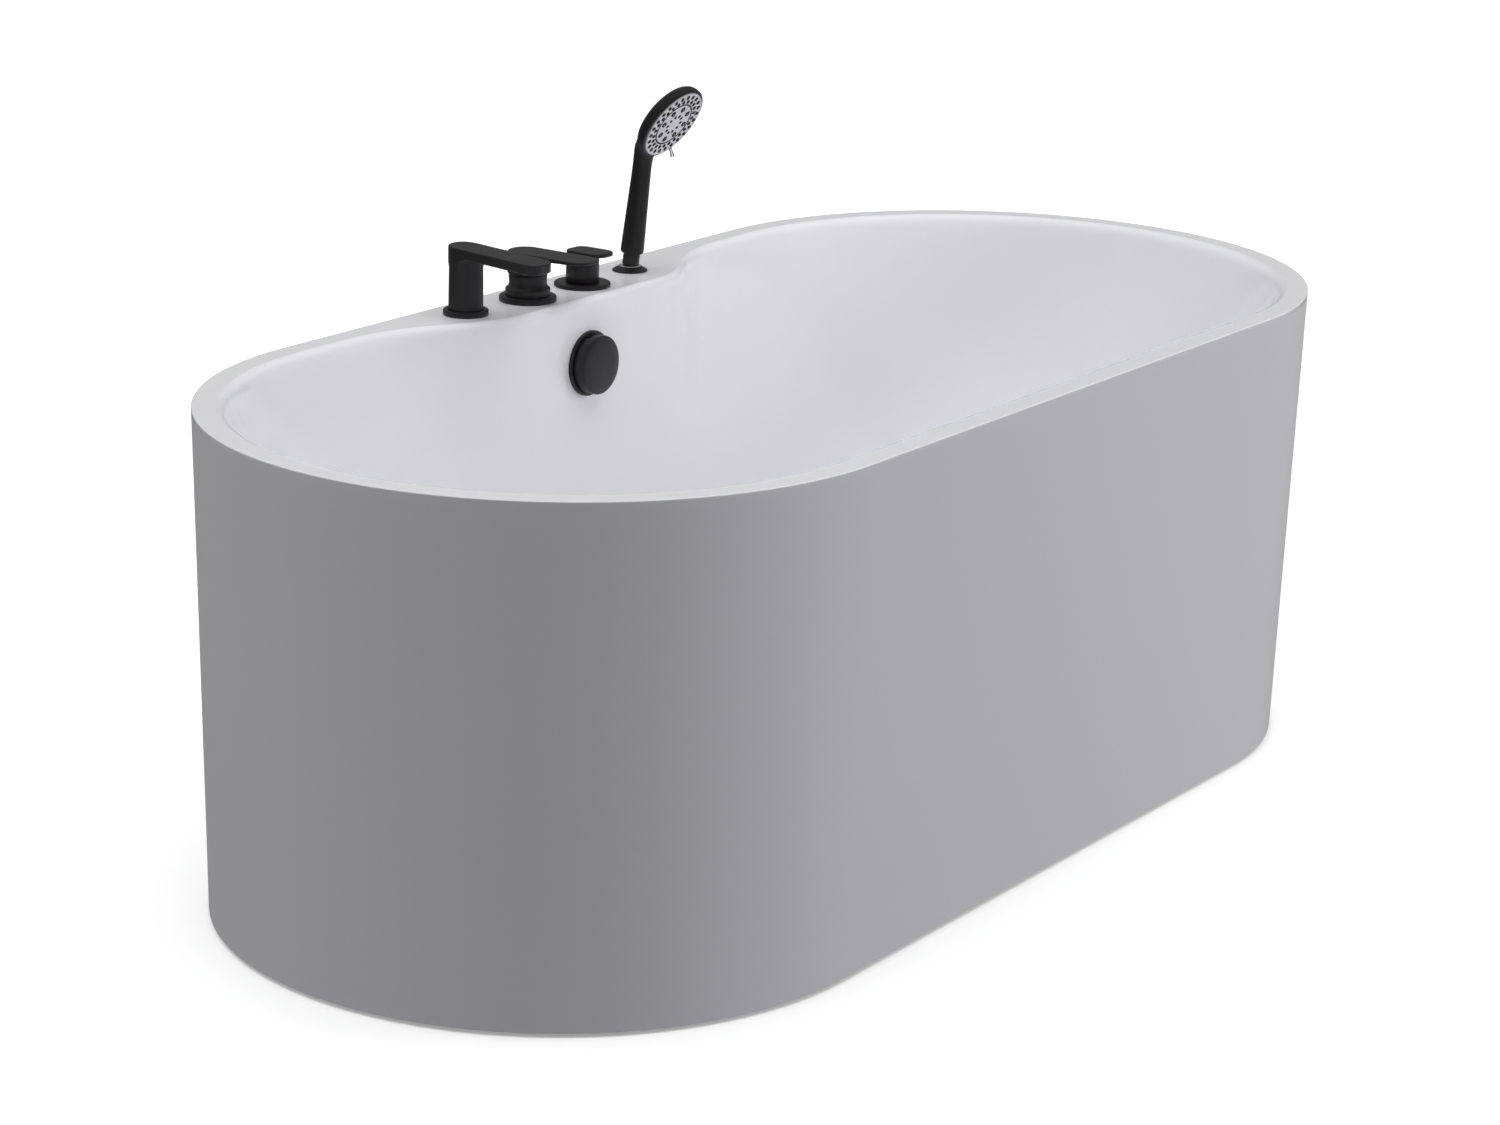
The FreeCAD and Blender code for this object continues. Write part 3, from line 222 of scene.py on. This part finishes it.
def glossySanitaryAcrylic():
    # vacuum-formed cast acrylic sheet: deep even gloss, with waves so long that only reflections
    # bend
    return grainedMaterial("glossySanitaryAcrylic", ("#eeeef1", "#f2f2f5"), rough=(0.10, 0.16),
                           cloud=260, grain=38, depth=0.02, detail=1.0,
                           IOR=1.49, Coat_Weight=0.3, Coat_Roughness=0.05, Coat_IOR=1.5)


def satinAcrylicPanel():
    # the same sheet left with its satin outer face: broad soft highlights, a faint orange peel
    return grainedMaterial("satinAcrylicPanel", ("#e9e9ee", "#ececf1"), rough=(0.34, 0.42),
                           cloud=300, grain=5.0, depth=0.015, IOR=1.49)


def mattBlackCoatedBrass():
    # brass castings under a baked matt coat: fine dry grain, drawn coarser than its real 0.1 mm
    return grainedMaterial("mattBlackCoatedBrass", ("#1c1a1c", "#211f21"), rough=(0.36, 0.45),
                           cloud=24, grain=0.9, depth=0.02, detail=3.0, IOR=1.42)


def mattBlackCoatedPlastic():
    # moulded ABS sprayed with the same matt black: a shade softer and smoother than the castings
    return grainedMaterial("mattBlackCoatedPlastic", ("#161517", "#1a191b"), rough=(0.42, 0.50),
                           cloud=30, grain=1.1, depth=0.015, detail=3.0, IOR=1.42)


def polishedChrome():
    # chrome over nickel, buffed: a mirror with the slightest haze from wiping
    return grainedMaterial("polishedChrome", ("#e4e5e7", "#ededee"), rough=(0.04, 0.10),
                           cloud=8, grain=6.0, detail=3.0, Metallic=1.0)


def machinedBrass():
    # bare turned brass: rings from the tool, dulled here and there by handling; the rings are
    # drawn about 0.8 mm apart to show, where real ones are closer
    material, tree, shader = newMaterial("machinedBrass", Metallic=1.0)
    place = addNode(tree, "TexCoord").outputs["Object"]
    tarnish = addNode(tree, "TexNoise", {"Vector": place, "Scale": 1 / (12 * mm), "Detail": 4.0})
    # at scale 1 the phase of the rings runs 20 radians to the metre
    rings = addNode(tree, "TexWave", {"Vector": place, "Scale": math.tau / (20 * 0.79 * mm),
                                      "Distortion": 0.4}, bands_direction="Z")
    coatWith(tree, shader, tarnish.outputs["Fac"], rings.outputs["Fac"], ("#b8934a", "#d0ae62"),
             rough=(0.24, 0.36), depth=0.015)
    return material


def resinSealedPlywood():
    # resin brushed over birch plywood: fibres 2.2 mm wide, stretched along the tub, and a slow
    # darker figure
    material, tree, shader = newMaterial("resinSealedPlywood", IOR=1.5)
    place = addNode(tree, "TexCoord").outputs["Object"]
    along = addNode(tree, "Mapping", {"Vector": place, "Scale": (0.07, 1.0, 1.0)}).outputs["Vector"]
    fibre = addNode(tree, "TexNoise", {"Vector": along, "Scale": 1 / (2.2 * mm), "Detail": 4.0,
                                       "Distortion": 0.3}).outputs["Fac"]
    figure = addNode(tree, "TexNoise", {"Vector": place, "Scale": 1 / (90 * mm), "Detail": 3.0})
    shade = addNode(tree, "Math", {0: fibre, 1: figure.outputs["Fac"], 2: 0.12},
                    operation="MULTIPLY_ADD")
    coatWith(tree, shader, shade.outputs["Value"], fibre, ("#8d6a42", "#d9b985"),
             rough=(0.42, 0.68), depth=0.12)
    return material


def powderCoatedSteel():
    # welded box section, powder coated dark grey: an even orange peel of 2 mm
    return grainedMaterial("powderCoatedSteel", ("#29292b", "#313133"), rough=(0.40, 0.52),
                           cloud=60, grain=2.0, depth=0.05, IOR=1.5)


def zincPlatedSteel():
    # electroplated zinc: fine crystals that catch the light one by one, drawn 1.6 mm wide to show
    material, tree, shader = newMaterial("zincPlatedSteel", Metallic=1.0)
    place = addNode(tree, "TexCoord").outputs["Object"]
    cells = addNode(tree, "TexVoronoi", {"Vector": place, "Scale": 1 / (1.6 * mm)})
    crystals = cells.outputs["Distance"]
    coatWith(tree, shader, crystals, crystals, ("#b0b3b6", "#c8cbce"), rough=(0.26, 0.40))
    return material


def blackFootNylon():
    # injection-moulded glass-filled nylon: coarse sparked mould, dry dark grey
    return grainedMaterial("blackFootNylon", ("#161616", "#1d1d1d"), rough=(0.50, 0.66),
                           cloud=40, grain=1.4, depth=0.02, detail=3.0, IOR=1.53)


def greyAcetal():
    # the mixer's cartridge and the aerator: waxy grey acetal with a low even sheen
    return grainedMaterial("greyAcetal", ("#5f5f61", "#6d6d6f"), rough=(0.40, 0.52),
                           cloud=40, grain=1.0, depth=0.02, detail=3.0, IOR=1.48)


def paleSprayPlastic():
    # the spray plate: pale grey ABS from a nearly polished mould
    return grainedMaterial("paleSprayPlastic", ("#d2d1d7", "#dcdbe1"), rough=(0.26, 0.36),
                           cloud=40, grain=0.8, depth=0.02, detail=3.0, IOR=1.53)


def whiteDrainPolypropylene():
    # waste fittings moulded in white polypropylene: slightly waxy and warm
    return grainedMaterial("whiteDrainPolypropylene", ("#d8d8d4", "#e4e4e0"), rough=(0.36, 0.50),
                           cloud=40, grain=1.6, depth=0.02, detail=3.0, IOR=1.49)


def nozzleSilicone():
    # soft black silicone: dull, a trace of bloom in the hollows
    return grainedMaterial("nozzleSilicone", ("#0a0a0b", "#121213"), rough=(0.52, 0.66),
                           cloud=3.0, grain=1.5, depth=0.01, IOR=1.40)


def blackSealRubber():
    # cured nitrile rubber washers with a talc-dry skin
    return grainedMaterial("blackSealRubber", ("#121212", "#1c1c1c"), rough=(0.72, 0.88),
                           cloud=9, grain=1.2, depth=0.03, detail=3.0, IOR=1.52)


finishes = {
    "bowl_acrylic": glossySanitaryAcrylic(),
    "skirt_acrylic": satinAcrylicPanel(),
    "plywood": resinSealedPlywood(),
    "frame_steel": powderCoatedSteel(),
    "zinc_steel": zincPlatedSteel(),
    "foot_plastic": blackFootNylon(),
    "black_metal": mattBlackCoatedBrass(),
    "black_plastic": mattBlackCoatedPlastic(),
    "bright_chrome": polishedChrome(),
    "brass_raw": machinedBrass(),
    "grey_plastic": greyAcetal(),
    "spray_plate": paleSprayPlastic(),
    "nozzle_silicone": nozzleSilicone(),
    "pipe_plastic": whiteDrainPolypropylene(),
    "seal_rubber": blackSealRubber(),
}
slotOf = {part["node"]: part["material_slot"] for part in frame["record"]["subparts"]}
for name, node in nodes.items():
    node.data.materials.clear()
    node.data.materials.append(finishes[slotOf[name]])
print("nodes dressed")


workshop = {
    "spinSteps": 128,       # facets round a turned piece
    "weldTurned": 0.02,     # mm within which corners become one
    "weldCopied": 0.005,
    "softenPast": 32,       # degrees between faces past which an edge is rounded
    "softenFacets": 3,
    "smoothing": 0.5,       # how far one pass of smoothing moves a corner towards its neighbours
    "creaseAngle": 40,      # degrees past which an edge is shaded sharp
}
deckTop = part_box("basin")[1][2]


def middleOf(name):
    low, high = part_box(name)
    return (Vector(low) + Vector(high)) / 2


def pickCorners(test):
    # in edit mode, selects the corners that pass the test
    bpy.ops.mesh.select_all(action="DESELECT")
    bpy.ops.mesh.select_mode(type="VERT")
    mesh = bpy.context.object.data
    for corner in bmesh.from_edit_mesh(mesh).verts:
        if test(corner):
            corner.select_set(True)
    bmesh.update_edit_mesh(mesh)


def turnProfile(name, profile, steps=workshop["spinSteps"]):
    # the half section is drawn corner by corner and spun round Z, as on a lathe
    bpy.ops.object.select_all(action="DESELECT")
    bpy.ops.mesh.primitive_plane_add(size=mm, location=(0, 0, 0))
    piece = bpy.context.active_object
    piece.name = name
    bpy.ops.object.mode_set(mode="EDIT")
    bpy.ops.mesh.merge(type="CENTER")
    radius, height = profile[0]
    bpy.ops.transform.translate(value=(radius * mm, 0, height * mm))
    for nextRadius, nextHeight in profile[1:]:
        move = ((nextRadius - radius) * mm, 0, (nextHeight - height) * mm)
        bpy.ops.mesh.extrude_vertices_move(TRANSFORM_OT_translate={"value": move})
        radius, height = nextRadius, nextHeight
    bpy.ops.mesh.select_all(action="SELECT")
    bpy.ops.mesh.spin(steps=steps, angle=math.tau, center=(0, 0, 0), axis=(0, 0, 1))
    bpy.ops.mesh.select_all(action="SELECT")
    bpy.ops.mesh.remove_doubles(threshold=workshop["weldTurned"] * mm)
    bpy.ops.mesh.normals_make_consistent(inside=False)
    bpy.ops.object.mode_set(mode="OBJECT")
    return piece


def finishModifier(piece, kind, **settings):
    # adds one modifier and applies it at once
    bpy.context.view_layer.objects.active = piece
    modifier = piece.modifiers.new(kind.lower(), kind)
    for name, value in settings.items():
        setattr(modifier, name, value)
    bpy.ops.object.modifier_apply(modifier=modifier.name)


def softenEdges(piece, width, past=workshop["softenPast"]):
    finishModifier(piece, "BEVEL", width=width * mm, segments=workshop["softenFacets"],
                   limit_method="ANGLE", angle_limit=math.radians(past), use_clamp_overlap=True)


def settle(piece, place=(0, 0, 0), facing=(0, 0, 1)):
    # turns the piece's Z axis to where it faces, and leaves the place in its mesh
    bpy.ops.object.select_all(action="DESELECT")
    piece.select_set(True)
    bpy.context.view_layer.objects.active = piece
    piece.rotation_euler = Vector((0, 0, 1)).rotation_difference(Vector(facing)).to_euler()
    piece.location = place
    bpy.ops.object.transform_apply(location=True, rotation=True, scale=True)
    bpy.ops.object.shade_smooth_by_angle(angle=math.radians(workshop["creaseAngle"]))


def copyNode(name, pieceName, weld=True):
    # a piece that starts as its solid's mesh, whose loose triangles are merged where weld says so
    piece = nodes[name].copy()
    piece.data = nodes[name].data.copy()
    piece.name = pieceName
    bpy.context.scene.collection.objects.link(piece)
    bpy.ops.object.select_all(action="DESELECT")
    piece.select_set(True)
    bpy.context.view_layer.objects.active = piece
    if weld:
        bpy.ops.object.mode_set(mode="EDIT")
        bpy.ops.mesh.select_all(action="SELECT")
        bpy.ops.mesh.remove_doubles(threshold=workshop["weldCopied"] * mm)
        bpy.ops.object.mode_set(mode="OBJECT")
    return piece


def mouldSkin(piece, grain, passes):
    # one closed skin over all that the piece is made of, its creases eased by a few passes
    finishModifier(piece, "REMESH", mode="VOXEL", voxel_size=grain * mm)
    finishModifier(piece, "SMOOTH", factor=workshop["smoothing"], iterations=passes)


def joinPieces(first, others):
    bpy.ops.object.select_all(action="DESELECT")
    for piece in (first, *others):
        piece.select_set(True)
    bpy.context.view_layer.objects.active = first
    bpy.context.view_layer.update()
    bpy.ops.object.join()


def dress(piece, body, slot, *replaced):
    piece.data.materials.clear()
    piece.data.materials.append(finishes[slot])
    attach(piece, body)
    if replaced:
        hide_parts(*replaced)


handShower = {
    # along the lift axis from the deck, radius
    "handle": ((23.8, 13.6), (24.3, 14.5), (25.6, 14.9), (60.0, 13.9), (100.0, 12.8),
               (136.0, 11.8)),
    # behind the face, below its middle, half width, half depth, share of the turn into its plane
    "neck": ((15.4, 61.2, 13.6, 11.7, 0.15), (18.3, 46.0, 20.0, 12.8, 0.45),
             (15.6, 31.0, 29.0, 11.5, 0.75), (10.5, 16.0, 37.0, 7.0, 0.9)),
    # half section: radius, how far out of the face
    "head": ((0, -18.4), (30, -18.3), (37, -18.0), (42.5, -17.0), (47, -14.9), (50, -11.6),
             (51.3, -7.8), (51.5, -1.9), (50.9, -0.5), (49.8, 0), (0, 0)),
    "recessRadius": 47.8,   # the seat that the spray plate lies in
    "recessDepth": 4.2,
    "ringCorners": 48,
    "headSteps": 96,
    "levels": 2,            # times the bridged rings are subdivided
    "skinGrain": 0.8,       # mesh size of the moulded skin
    "skinPasses": 10,       # smoothing passes over it
}

liftAxis = Vector(joints["handset_lift"]["axis"])
# the spray face: its middle, the way it looks, and the way up it
faceMiddle = Vector(joints["spray_select"]["pos_m"])
faceLook = -Vector(joints["spray_select"]["axis"])
faceRise = faceLook.cross(Vector((1, 0, 0))).normalized()
holder = Vector((*middleOf("holder_flange")[:2], deckTop))


def addRing(middle, lean, halfWidth, halfDepth):
    # a ring one millimetre in radius, stretched to its half width and half depth, then leant
    bpy.ops.mesh.primitive_circle_add(vertices=handShower["ringCorners"], radius=mm,
                                      location=middle, rotation=(lean, 0, 0))
    ring = bpy.context.active_object
    ring.scale = (halfWidth, halfDepth, 1)
    return ring


def makeHandleAndNeck():
    # rings up the handle and round the neck's bend, bridged and capped
    bpy.ops.object.select_all(action="DESELECT")
    lean = math.atan2(-liftAxis.y, liftAxis.z)
    tilt = math.atan2(-faceRise.y, faceRise.z)
    rings = [addRing(holder + liftAxis * along * mm, lean, radius, radius)
             for along, radius in handShower["handle"]]
    for behind, below, halfWidth, halfDepth, turn in handShower["neck"]:
        middle = faceMiddle - faceLook * behind * mm - faceRise * below * mm
        rings.append(addRing(middle, lean + (tilt - lean) * turn, halfWidth, halfDepth))
    body = rings[0]
    joinPieces(body, rings[1:])
    body.name = "handShower"
    bpy.ops.object.mode_set(mode="EDIT")
    bpy.ops.mesh.select_all(action="SELECT")
    bpy.ops.mesh.bridge_edge_loops()
    bpy.ops.mesh.select_all(action="SELECT")
    bpy.ops.mesh.fill_holes(sides=0)
    bpy.ops.mesh.select_all(action="SELECT")
    bpy.ops.mesh.normals_make_consistent(inside=False)
    bpy.ops.object.mode_set(mode="OBJECT")
    bpy.ops.object.transform_apply(location=True, rotation=True, scale=True)
    finishModifier(body, "SUBSURF", levels=handShower["levels"], render_levels=handShower["levels"])
    return body


def makeHandShower():
    body = makeHandleAndNeck()
    head = turnProfile("head", handShower["head"], handShower["headSteps"])
    settle(head, faceMiddle, faceLook)
    joinPieces(body, [head])
    mouldSkin(body, handShower["skinGrain"], handShower["skinPasses"])
    deep, wide = handShower["recessDepth"], handShower["recessRadius"]
    recess = turnProfile("recess", ((0, -deep), (wide, -deep), (wide, deep), (0, deep)),
                         handShower["headSteps"])
    settle(recess, faceMiddle, faceLook)
    finishModifier(body, "BOOLEAN", operation="DIFFERENCE", object=recess, solver="EXACT")
    bpy.data.objects.remove(recess)
    settle(body)
    dress(body, "handset", "black_plastic", "handset_body")


sprayPlate = {
    # half sections: radius, how far out of the face
    "section": ((0, -3.7), (47.3, -3.7), (47.3, 0.9), (46.8, 1.5), (45.7, 1.5), (45.0, 1.0),
                (31.0, 0.9), (30.9, 0.1), (29.1, 0.1), (28.7, 0.9), (0, 1.3)),
    # a black ring that fills the plate's groove: its dark colour is painted shade along the groove
    "paintedGrooveShade": ((29.15, 0.15), (30.85, 0.15), (30.8, 1.0), (30.4, 1.25), (29.6, 1.25), (29.2, 1.0),
               (29.15, 0.15)),
    "soften": 0.25,
    "softenPast": 20,
}


def makeSprayFace():
    plate = turnProfile("sprayPlate", sprayPlate["section"])
    softenEdges(plate, sprayPlate["soften"], sprayPlate["softenPast"])
    settle(plate, faceMiddle, faceLook)
    dress(plate, "spray_dial", "spray_plate", "spray_face")
    # the groove's shade is painted as a black ring laid in it
    paintedGrooveShade = turnProfile("sprayPaintedGrooveShade", sprayPlate["paintedGrooveShade"])
    settle(paintedGrooveShade, faceMiddle, faceLook)
    dress(paintedGrooveShade, "spray_dial", "nozzle_silicone")


sprayNozzles = {
    # row radius, how many, length, width, hole as a share of the half width, degrees to the first
    "rows": ((41.4, 24, 6.8, 5.8, 0.20, 15.5), (34.7, 24, 6.4, 5.2, 0.0, 8.0),
             (22.3, 8, 8.8, 8.0, 0.40, -7.4), (12.4, 10, 5.6, 4.4, 0.0, 23.2)),
    "crown": ((0.92, 0.55), (0.72, 0.8)),   # radii are shares of the half width, heights in mm
    "lip": (0.3, 0.86),             # smallest radius of the top's edge, and its height
    "middle": 0.88,                 # height of a closed one's middle
    "holeTop": (0.9, 0.6),          # the hole narrows to this share of itself, at this height
    "pinches": ((-0.35, 0.82), (-0.7, 0.72)),   # past each of these levels, narrower by this
    "steps": 20,
    "stand": 0.9,                   # above the face's middle
    "creaseAngle": 50,
}


def makeNozzle(hole):
    # a soft drop, one millimetre in radius, whose narrow end points along -Y
    lipRadius, lipHeight = sprayNozzles["lip"]
    section = [*sprayNozzles["crown"], (max(hole, lipRadius), lipHeight)]
    if hole:
        share, height = sprayNozzles["holeTop"]
        section = [(hole, 0), (1, 0), *section, (hole * share, height), (hole, 0)]
    else:
        section = [(0, 0), (1, 0), *section, (0, sprayNozzles["middle"])]
    nozzle = turnProfile("nozzle", section, sprayNozzles["steps"])
    bpy.ops.object.mode_set(mode="EDIT")
    for level, pinch in sprayNozzles["pinches"]:
        pickCorners(lambda corner: corner.co.y < level * mm)
        bpy.ops.transform.resize(value=(pinch, 1, 1), center_override=(0, 0, 0))
    bpy.ops.object.mode_set(mode="OBJECT")
    return nozzle


def makeNozzles():
    copies = []
    side = faceRise.cross(faceLook)
    stand = faceMiddle + faceLook * sprayNozzles["stand"] * mm
    for radius, count, length, width, hole, first in sprayNozzles["rows"]:
        nozzle = makeNozzle(hole)
        spread = Matrix.Diagonal((width / 2, length / 2, 1, 1))
        for k in range(count):
            turn = math.radians(first + 360 * k / count)
            outward = faceRise * math.cos(turn) - side * math.sin(turn)
            copy = nozzle.copy()
            copy.data = nozzle.data.copy()
            bpy.context.scene.collection.objects.link(copy)
            turned = Matrix((outward.cross(faceLook), outward, faceLook)).transposed().to_4x4()
            copy.matrix_world = Matrix.Translation(stand + outward * radius * mm) @ turned @ spread
            copies.append(copy)
        bpy.data.objects.remove(nozzle)
    joinPieces(copies[0], copies[1:])
    nozzles = copies[0]
    nozzles.name = "sprayNozzles"
    bpy.ops.object.transform_apply(location=True, rotation=True, scale=True)
    bpy.ops.object.shade_smooth_by_angle(angle=math.radians(sprayNozzles["creaseAngle"]))
    dress(nozzles, "spray_dial", "nozzle_silicone", "spray_nozzles")


selectorPin = {
    # radius, distance from its root
    "section": ((0, 0), (1.9, 0), (2.0, 5.0), (2.5, 9.0), (2.7, 11.6), (2.2, 12.8), (0, 13.1)),
    "angle": 28,            # degrees from straight down the face, towards +X
    "tilt": 30,             # degrees out of the face
    "rootRadius": 45.4,
    "rootStand": 1.6,
    "steps": 32,
    "soften": 0.4,
    "softenPast": 15,
}


def makeSelectorPin():
    turn = math.radians(selectorPin["angle"])
    tilt = math.radians(selectorPin["tilt"])
    outward = Vector((math.sin(turn), 0, 0)) - faceRise * math.cos(turn)
    root = faceMiddle + outward * selectorPin["rootRadius"] * mm
    root = root + faceLook * selectorPin["rootStand"] * mm
    pin = turnProfile("selectorPin", selectorPin["section"], selectorPin["steps"])
    softenEdges(pin, selectorPin["soften"], selectorPin["softenPast"])
    settle(pin, root, outward * math.cos(tilt) + faceLook * math.sin(tilt))
    dress(pin, "spray_dial", "bright_chrome", "spray_selector")


makeHandShower()
makeSprayFace()
makeNozzles()
makeSelectorPin()
print("hand shower made")


overflowKnob = {
    # open rim, outer wall, domed front, and the hollow behind it: radius, distance from the flange
    "section": ((33.4, 0.4), (36.1, 0.4), (36.5, 0.8), (36.5, 13.9), (36.1, 14.9), (34.8, 15.6),
                (24, 16.7), (12, 17.3), (0, 17.5), (0, 4.4), (9.0, 4.4), (9.0, 13.6), (33.4, 13.0),
                (33.4, 0.4)),
    "soften": 0.4,
    "softenPast": 25,
    "slotWidth": 26.0,
    "slotDepth": 6.0,
    "slotBite": 18.0,       # the cutter's length, inwards from where it stands out of the edge
    "slotRound": 2.5,
    "slotFacets": 4,
    "spare": 1.0,           # how far the cutter stands out of the knob's edge
}


def makeOverflowKnob():
    axis = Vector((0, -1, 0))
    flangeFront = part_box("overflow_flange")[0][1]
    middle = middleOf("overflow_knob")
    seat = Vector((middle.x, flangeFront, middle.z))
    knob = turnProfile("overflowKnob", overflowKnob["section"])
    softenEdges(knob, overflowKnob["soften"], overflowKnob["softenPast"])
    settle(knob, seat, axis)
    # water slots through the open rim, above and below
    deep, wide, bite, spare = [overflowKnob[key] * mm
                               for key in ("slotDepth", "slotWidth", "slotBite", "spare")]
    radius = max(radius for radius, height in overflowKnob["section"]) * mm
    for side in (-1, 1):
        bpy.ops.object.select_all(action="DESELECT")
        place = (seat.x, seat.y - deep / 2 + spare, seat.z + side * (radius - bite / 2 + spare))
        bpy.ops.mesh.primitive_cube_add(size=1, location=place)
        cutter = bpy.context.active_object
        cutter.scale = (wide, deep + 2 * spare, bite)
        bpy.ops.object.transform_apply(location=True, rotation=True, scale=True)
        finishModifier(cutter, "BEVEL", width=overflowKnob["slotRound"] * mm,
                       segments=overflowKnob["slotFacets"])
        finishModifier(knob, "BOOLEAN", operation="DIFFERENCE", object=cutter, solver="EXACT")
        bpy.data.objects.remove(cutter)
    settle(knob)
    dress(knob, "overflow_dial", "black_metal", "overflow_knob")


makeOverflowKnob()
print("overflow knob made")


turnedFittings = {
    # half sections above the deck: radius, height
    "mixerFlange": {
        "node": "mixer_flange", "body": "tub", "soften": 0.5,
        "section": ((22.4, 0), (34.7, 0), (35.0, 0.5), (35.0, 4.6), (34.2, 6.2), (32.4, 6.8),
                    (22.4, 6.8), (22.4, 0))},
    "mixerBody": {
        "node": "mixer_body", "body": "tub", "soften": 0.35,
        "section": ((17.7, -28.4), (17.7, 33.6), (22.6, 33.6), (23.3, 32.8), (23.6, 30.6),
                    (23.3, 27.4), (22.9, 24.4), (23.0, 21.2), (23.8, 18.4), (25.4, 16.6),
                    (26.6, 16.2), (27.3, 15.4), (27.3, 6.9), (21.9, 6.9), (21.9, -62), (0, -62),
                    (0, -28.4), (17.7, -28.4))},
    "diverterFlange": {
        "node": "diverter_flange", "body": "tub", "soften": 0.4,
        "section": ((18.4, 0), (34.7, 0), (35.0, 0.5), (35.0, 3.6), (34.4, 4.6), (33.2, 5.0),
                    (18.4, 5.0), (18.4, 0))},
    "spoutFlange": {
        "node": "spout_flange", "body": "tub", "soften": 0.4,
        "section": ((21.4, 0), (27.0, 0), (27.3, 0.5), (27.3, 5.2), (26.6, 6.5), (25.2, 7.0),
                    (22.4, 7.0), (21.4, 6.4), (21.4, 0))},
    "diverterSleeve": {
        "node": "diverter_sleeve", "body": "diverter_handle", "soften": 0.4,
        "section": ((17.5, 5.4), (20.2, 5.4), (20.5, 5.9), (20.5, 39.2), (19.6, 41.0), (5.1, 41.0),
                    (5.1, 38.0), (17.5, 38.0), (17.5, 5.4))},
    "holderFlange": {
        "node": "holder_flange", "body": "tub", "soften": 0.3,
        "section": ((9.4, 0), (22.0, 0), (22.3, 0.4), (22.2, 1.4), (21.2, 2.2), (18.6, 3.5),
                    (16.2, 5.0), (14.8, 5.9), (13.8, 6.0), (9.4, 6.0), (9.4, 0))},
    "holderRing": {
        "node": "holder_ring", "body": "tub", "soften": 0.25,
        "section": ((9.4, 6.1), (13.5, 6.1), (13.8, 6.6), (13.5, 7.2), (12.2, 7.5), (9.4, 7.2),
                    (9.4, 6.1))},
}


def makeTurnedFittings():
    for name, fitting in turnedFittings.items():
        middle = middleOf(fitting["node"])
        piece = turnProfile(name, fitting["section"])
        softenEdges(piece, fitting["soften"])
        settle(piece, (middle.x, middle.y, deckTop))
        dress(piece, fitting["body"], slotOf[fitting["node"]], fitting["node"])


makeTurnedFittings()
print("turned fittings made")


bowlShoulders = {
    # where the deck's wall swings out to the plain rim, nearer the fittings than the solid has it:
    # distances from the tub's middle, and the height above the floor
    "shift": 45.0,
    "grows": (80.0, 190.0),         # along the tub
    "fades": (285.0, 445.0),
    "height": (330.0, 430.0),
    "wall": (200.0, 385.0),         # across the tub, outside which nothing moves
    "fittings": (205.0, 325.0),     # the deck round them stays: half its length, where it starts
}


def easeBetween(value, limits):
    # 0 before the first limit, 1 past the second, a smooth climb between
    share = min(max((value - limits[0]) / (limits[1] - limits[0]), 0), 1)
    return share * share * (3 - 2 * share)


def makeBowl():
    # the smooth shading of the solid's mesh is kept, so nothing is merged
    bowl = copyNode("basin", "acrylicBowl", weld=False)
    halfDeck, deckFront = bowlShoulders["fittings"]
    wallFront, wallBack = bowlShoulders["wall"]
    for corner in bowl.data.vertices:
        across, back, height = abs(corner.co.x) / mm, corner.co.y / mm, corner.co.z / mm
        if not wallFront < back < wallBack or (across < halfDeck and back > deckFront):
            continue
        share = easeBetween(across, bowlShoulders["grows"])
        share *= easeBetween(height, bowlShoulders["height"])
        share *= 1 - easeBetween(across, bowlShoulders["fades"])
        corner.co.x -= math.copysign(bowlShoulders["shift"] * mm * share, corner.co.x)
    dress(bowl, "tub", "bowl_acrylic", "basin")


boardCorner = {
    "start": 150.0,         # from the tub's middle, along the board's front edge
    "run": 56.0,
    "rise": 20.0,
}


def makeDeckBoard():
    # the stiffening board's inner corners are sawn off to clear the bowl's shoulders
    board = copyNode("deck_board", "deckBoard")
    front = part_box("deck_board")[0][1]
    bpy.ops.object.mode_set(mode="EDIT")
    for side in (-1, 1):
        bpy.ops.mesh.select_all(action="SELECT")
        bpy.ops.mesh.bisect(plane_co=(side * boardCorner["start"] * mm, front, 0),
                            plane_no=(side * boardCorner["rise"], -boardCorner["run"], 0),
                            use_fill=True, clear_outer=True)
    bpy.ops.mesh.select_all(action="SELECT")
    bpy.ops.mesh.normals_make_consistent(inside=False)
    bpy.ops.object.mode_set(mode="OBJECT")
    settle(board)
    dress(board, "tub", "plywood", "deck_board")


makeBowl()
makeDeckBoard()
print("bowl and deck board made")


castFittings = {
    # edges as a casting has them, eased by the polishing wheel; grain is the mesh size in mm
    "spoutCasting": {"node": "spout", "body": "tub", "grain": 0.8, "passes": 5},
    "mixerPaddle": {"node": "mixer_lever", "body": "mixer_handle", "grain": 0.6, "passes": 4},
    "diverterPaddle": {"node": "diverter_lever", "body": "diverter_handle", "grain": 0.6,
                       "passes": 4},
}
columnTop = {
    "heights": (62.0, 76.0),    # above the deck, the part of the column inside the arm's round end
    "radii": (19.9, 20.8),
    "widen": 1.034,
}


def bringColumnFlush():
    # the spout column's top is brought out flush with the arm that it carries
    middle = middleOf("spout_flange")
    low, high = columnTop["heights"]
    inner, outer = columnTop["radii"]
    bpy.ops.object.mode_set(mode="EDIT")
    pickCorners(lambda corner: low < (corner.co.z - deckTop) / mm < high
                and inner < (corner.co.xy - middle.xy).length / mm < outer)
    bpy.ops.transform.resize(value=(columnTop["widen"], columnTop["widen"], 1),
                             center_override=middle)
    bpy.ops.object.mode_set(mode="OBJECT")


def makeCastFittings():
    for name, fitting in castFittings.items():
        piece = copyNode(fitting["node"], name)
        if fitting["node"] == "spout":
            bringColumnFlush()
        mouldSkin(piece, fitting["grain"], fitting["passes"])
        settle(piece)
        dress(piece, fitting["body"], slotOf[fitting["node"]], fitting["node"])


makeCastFittings()
print("cast fittings made")
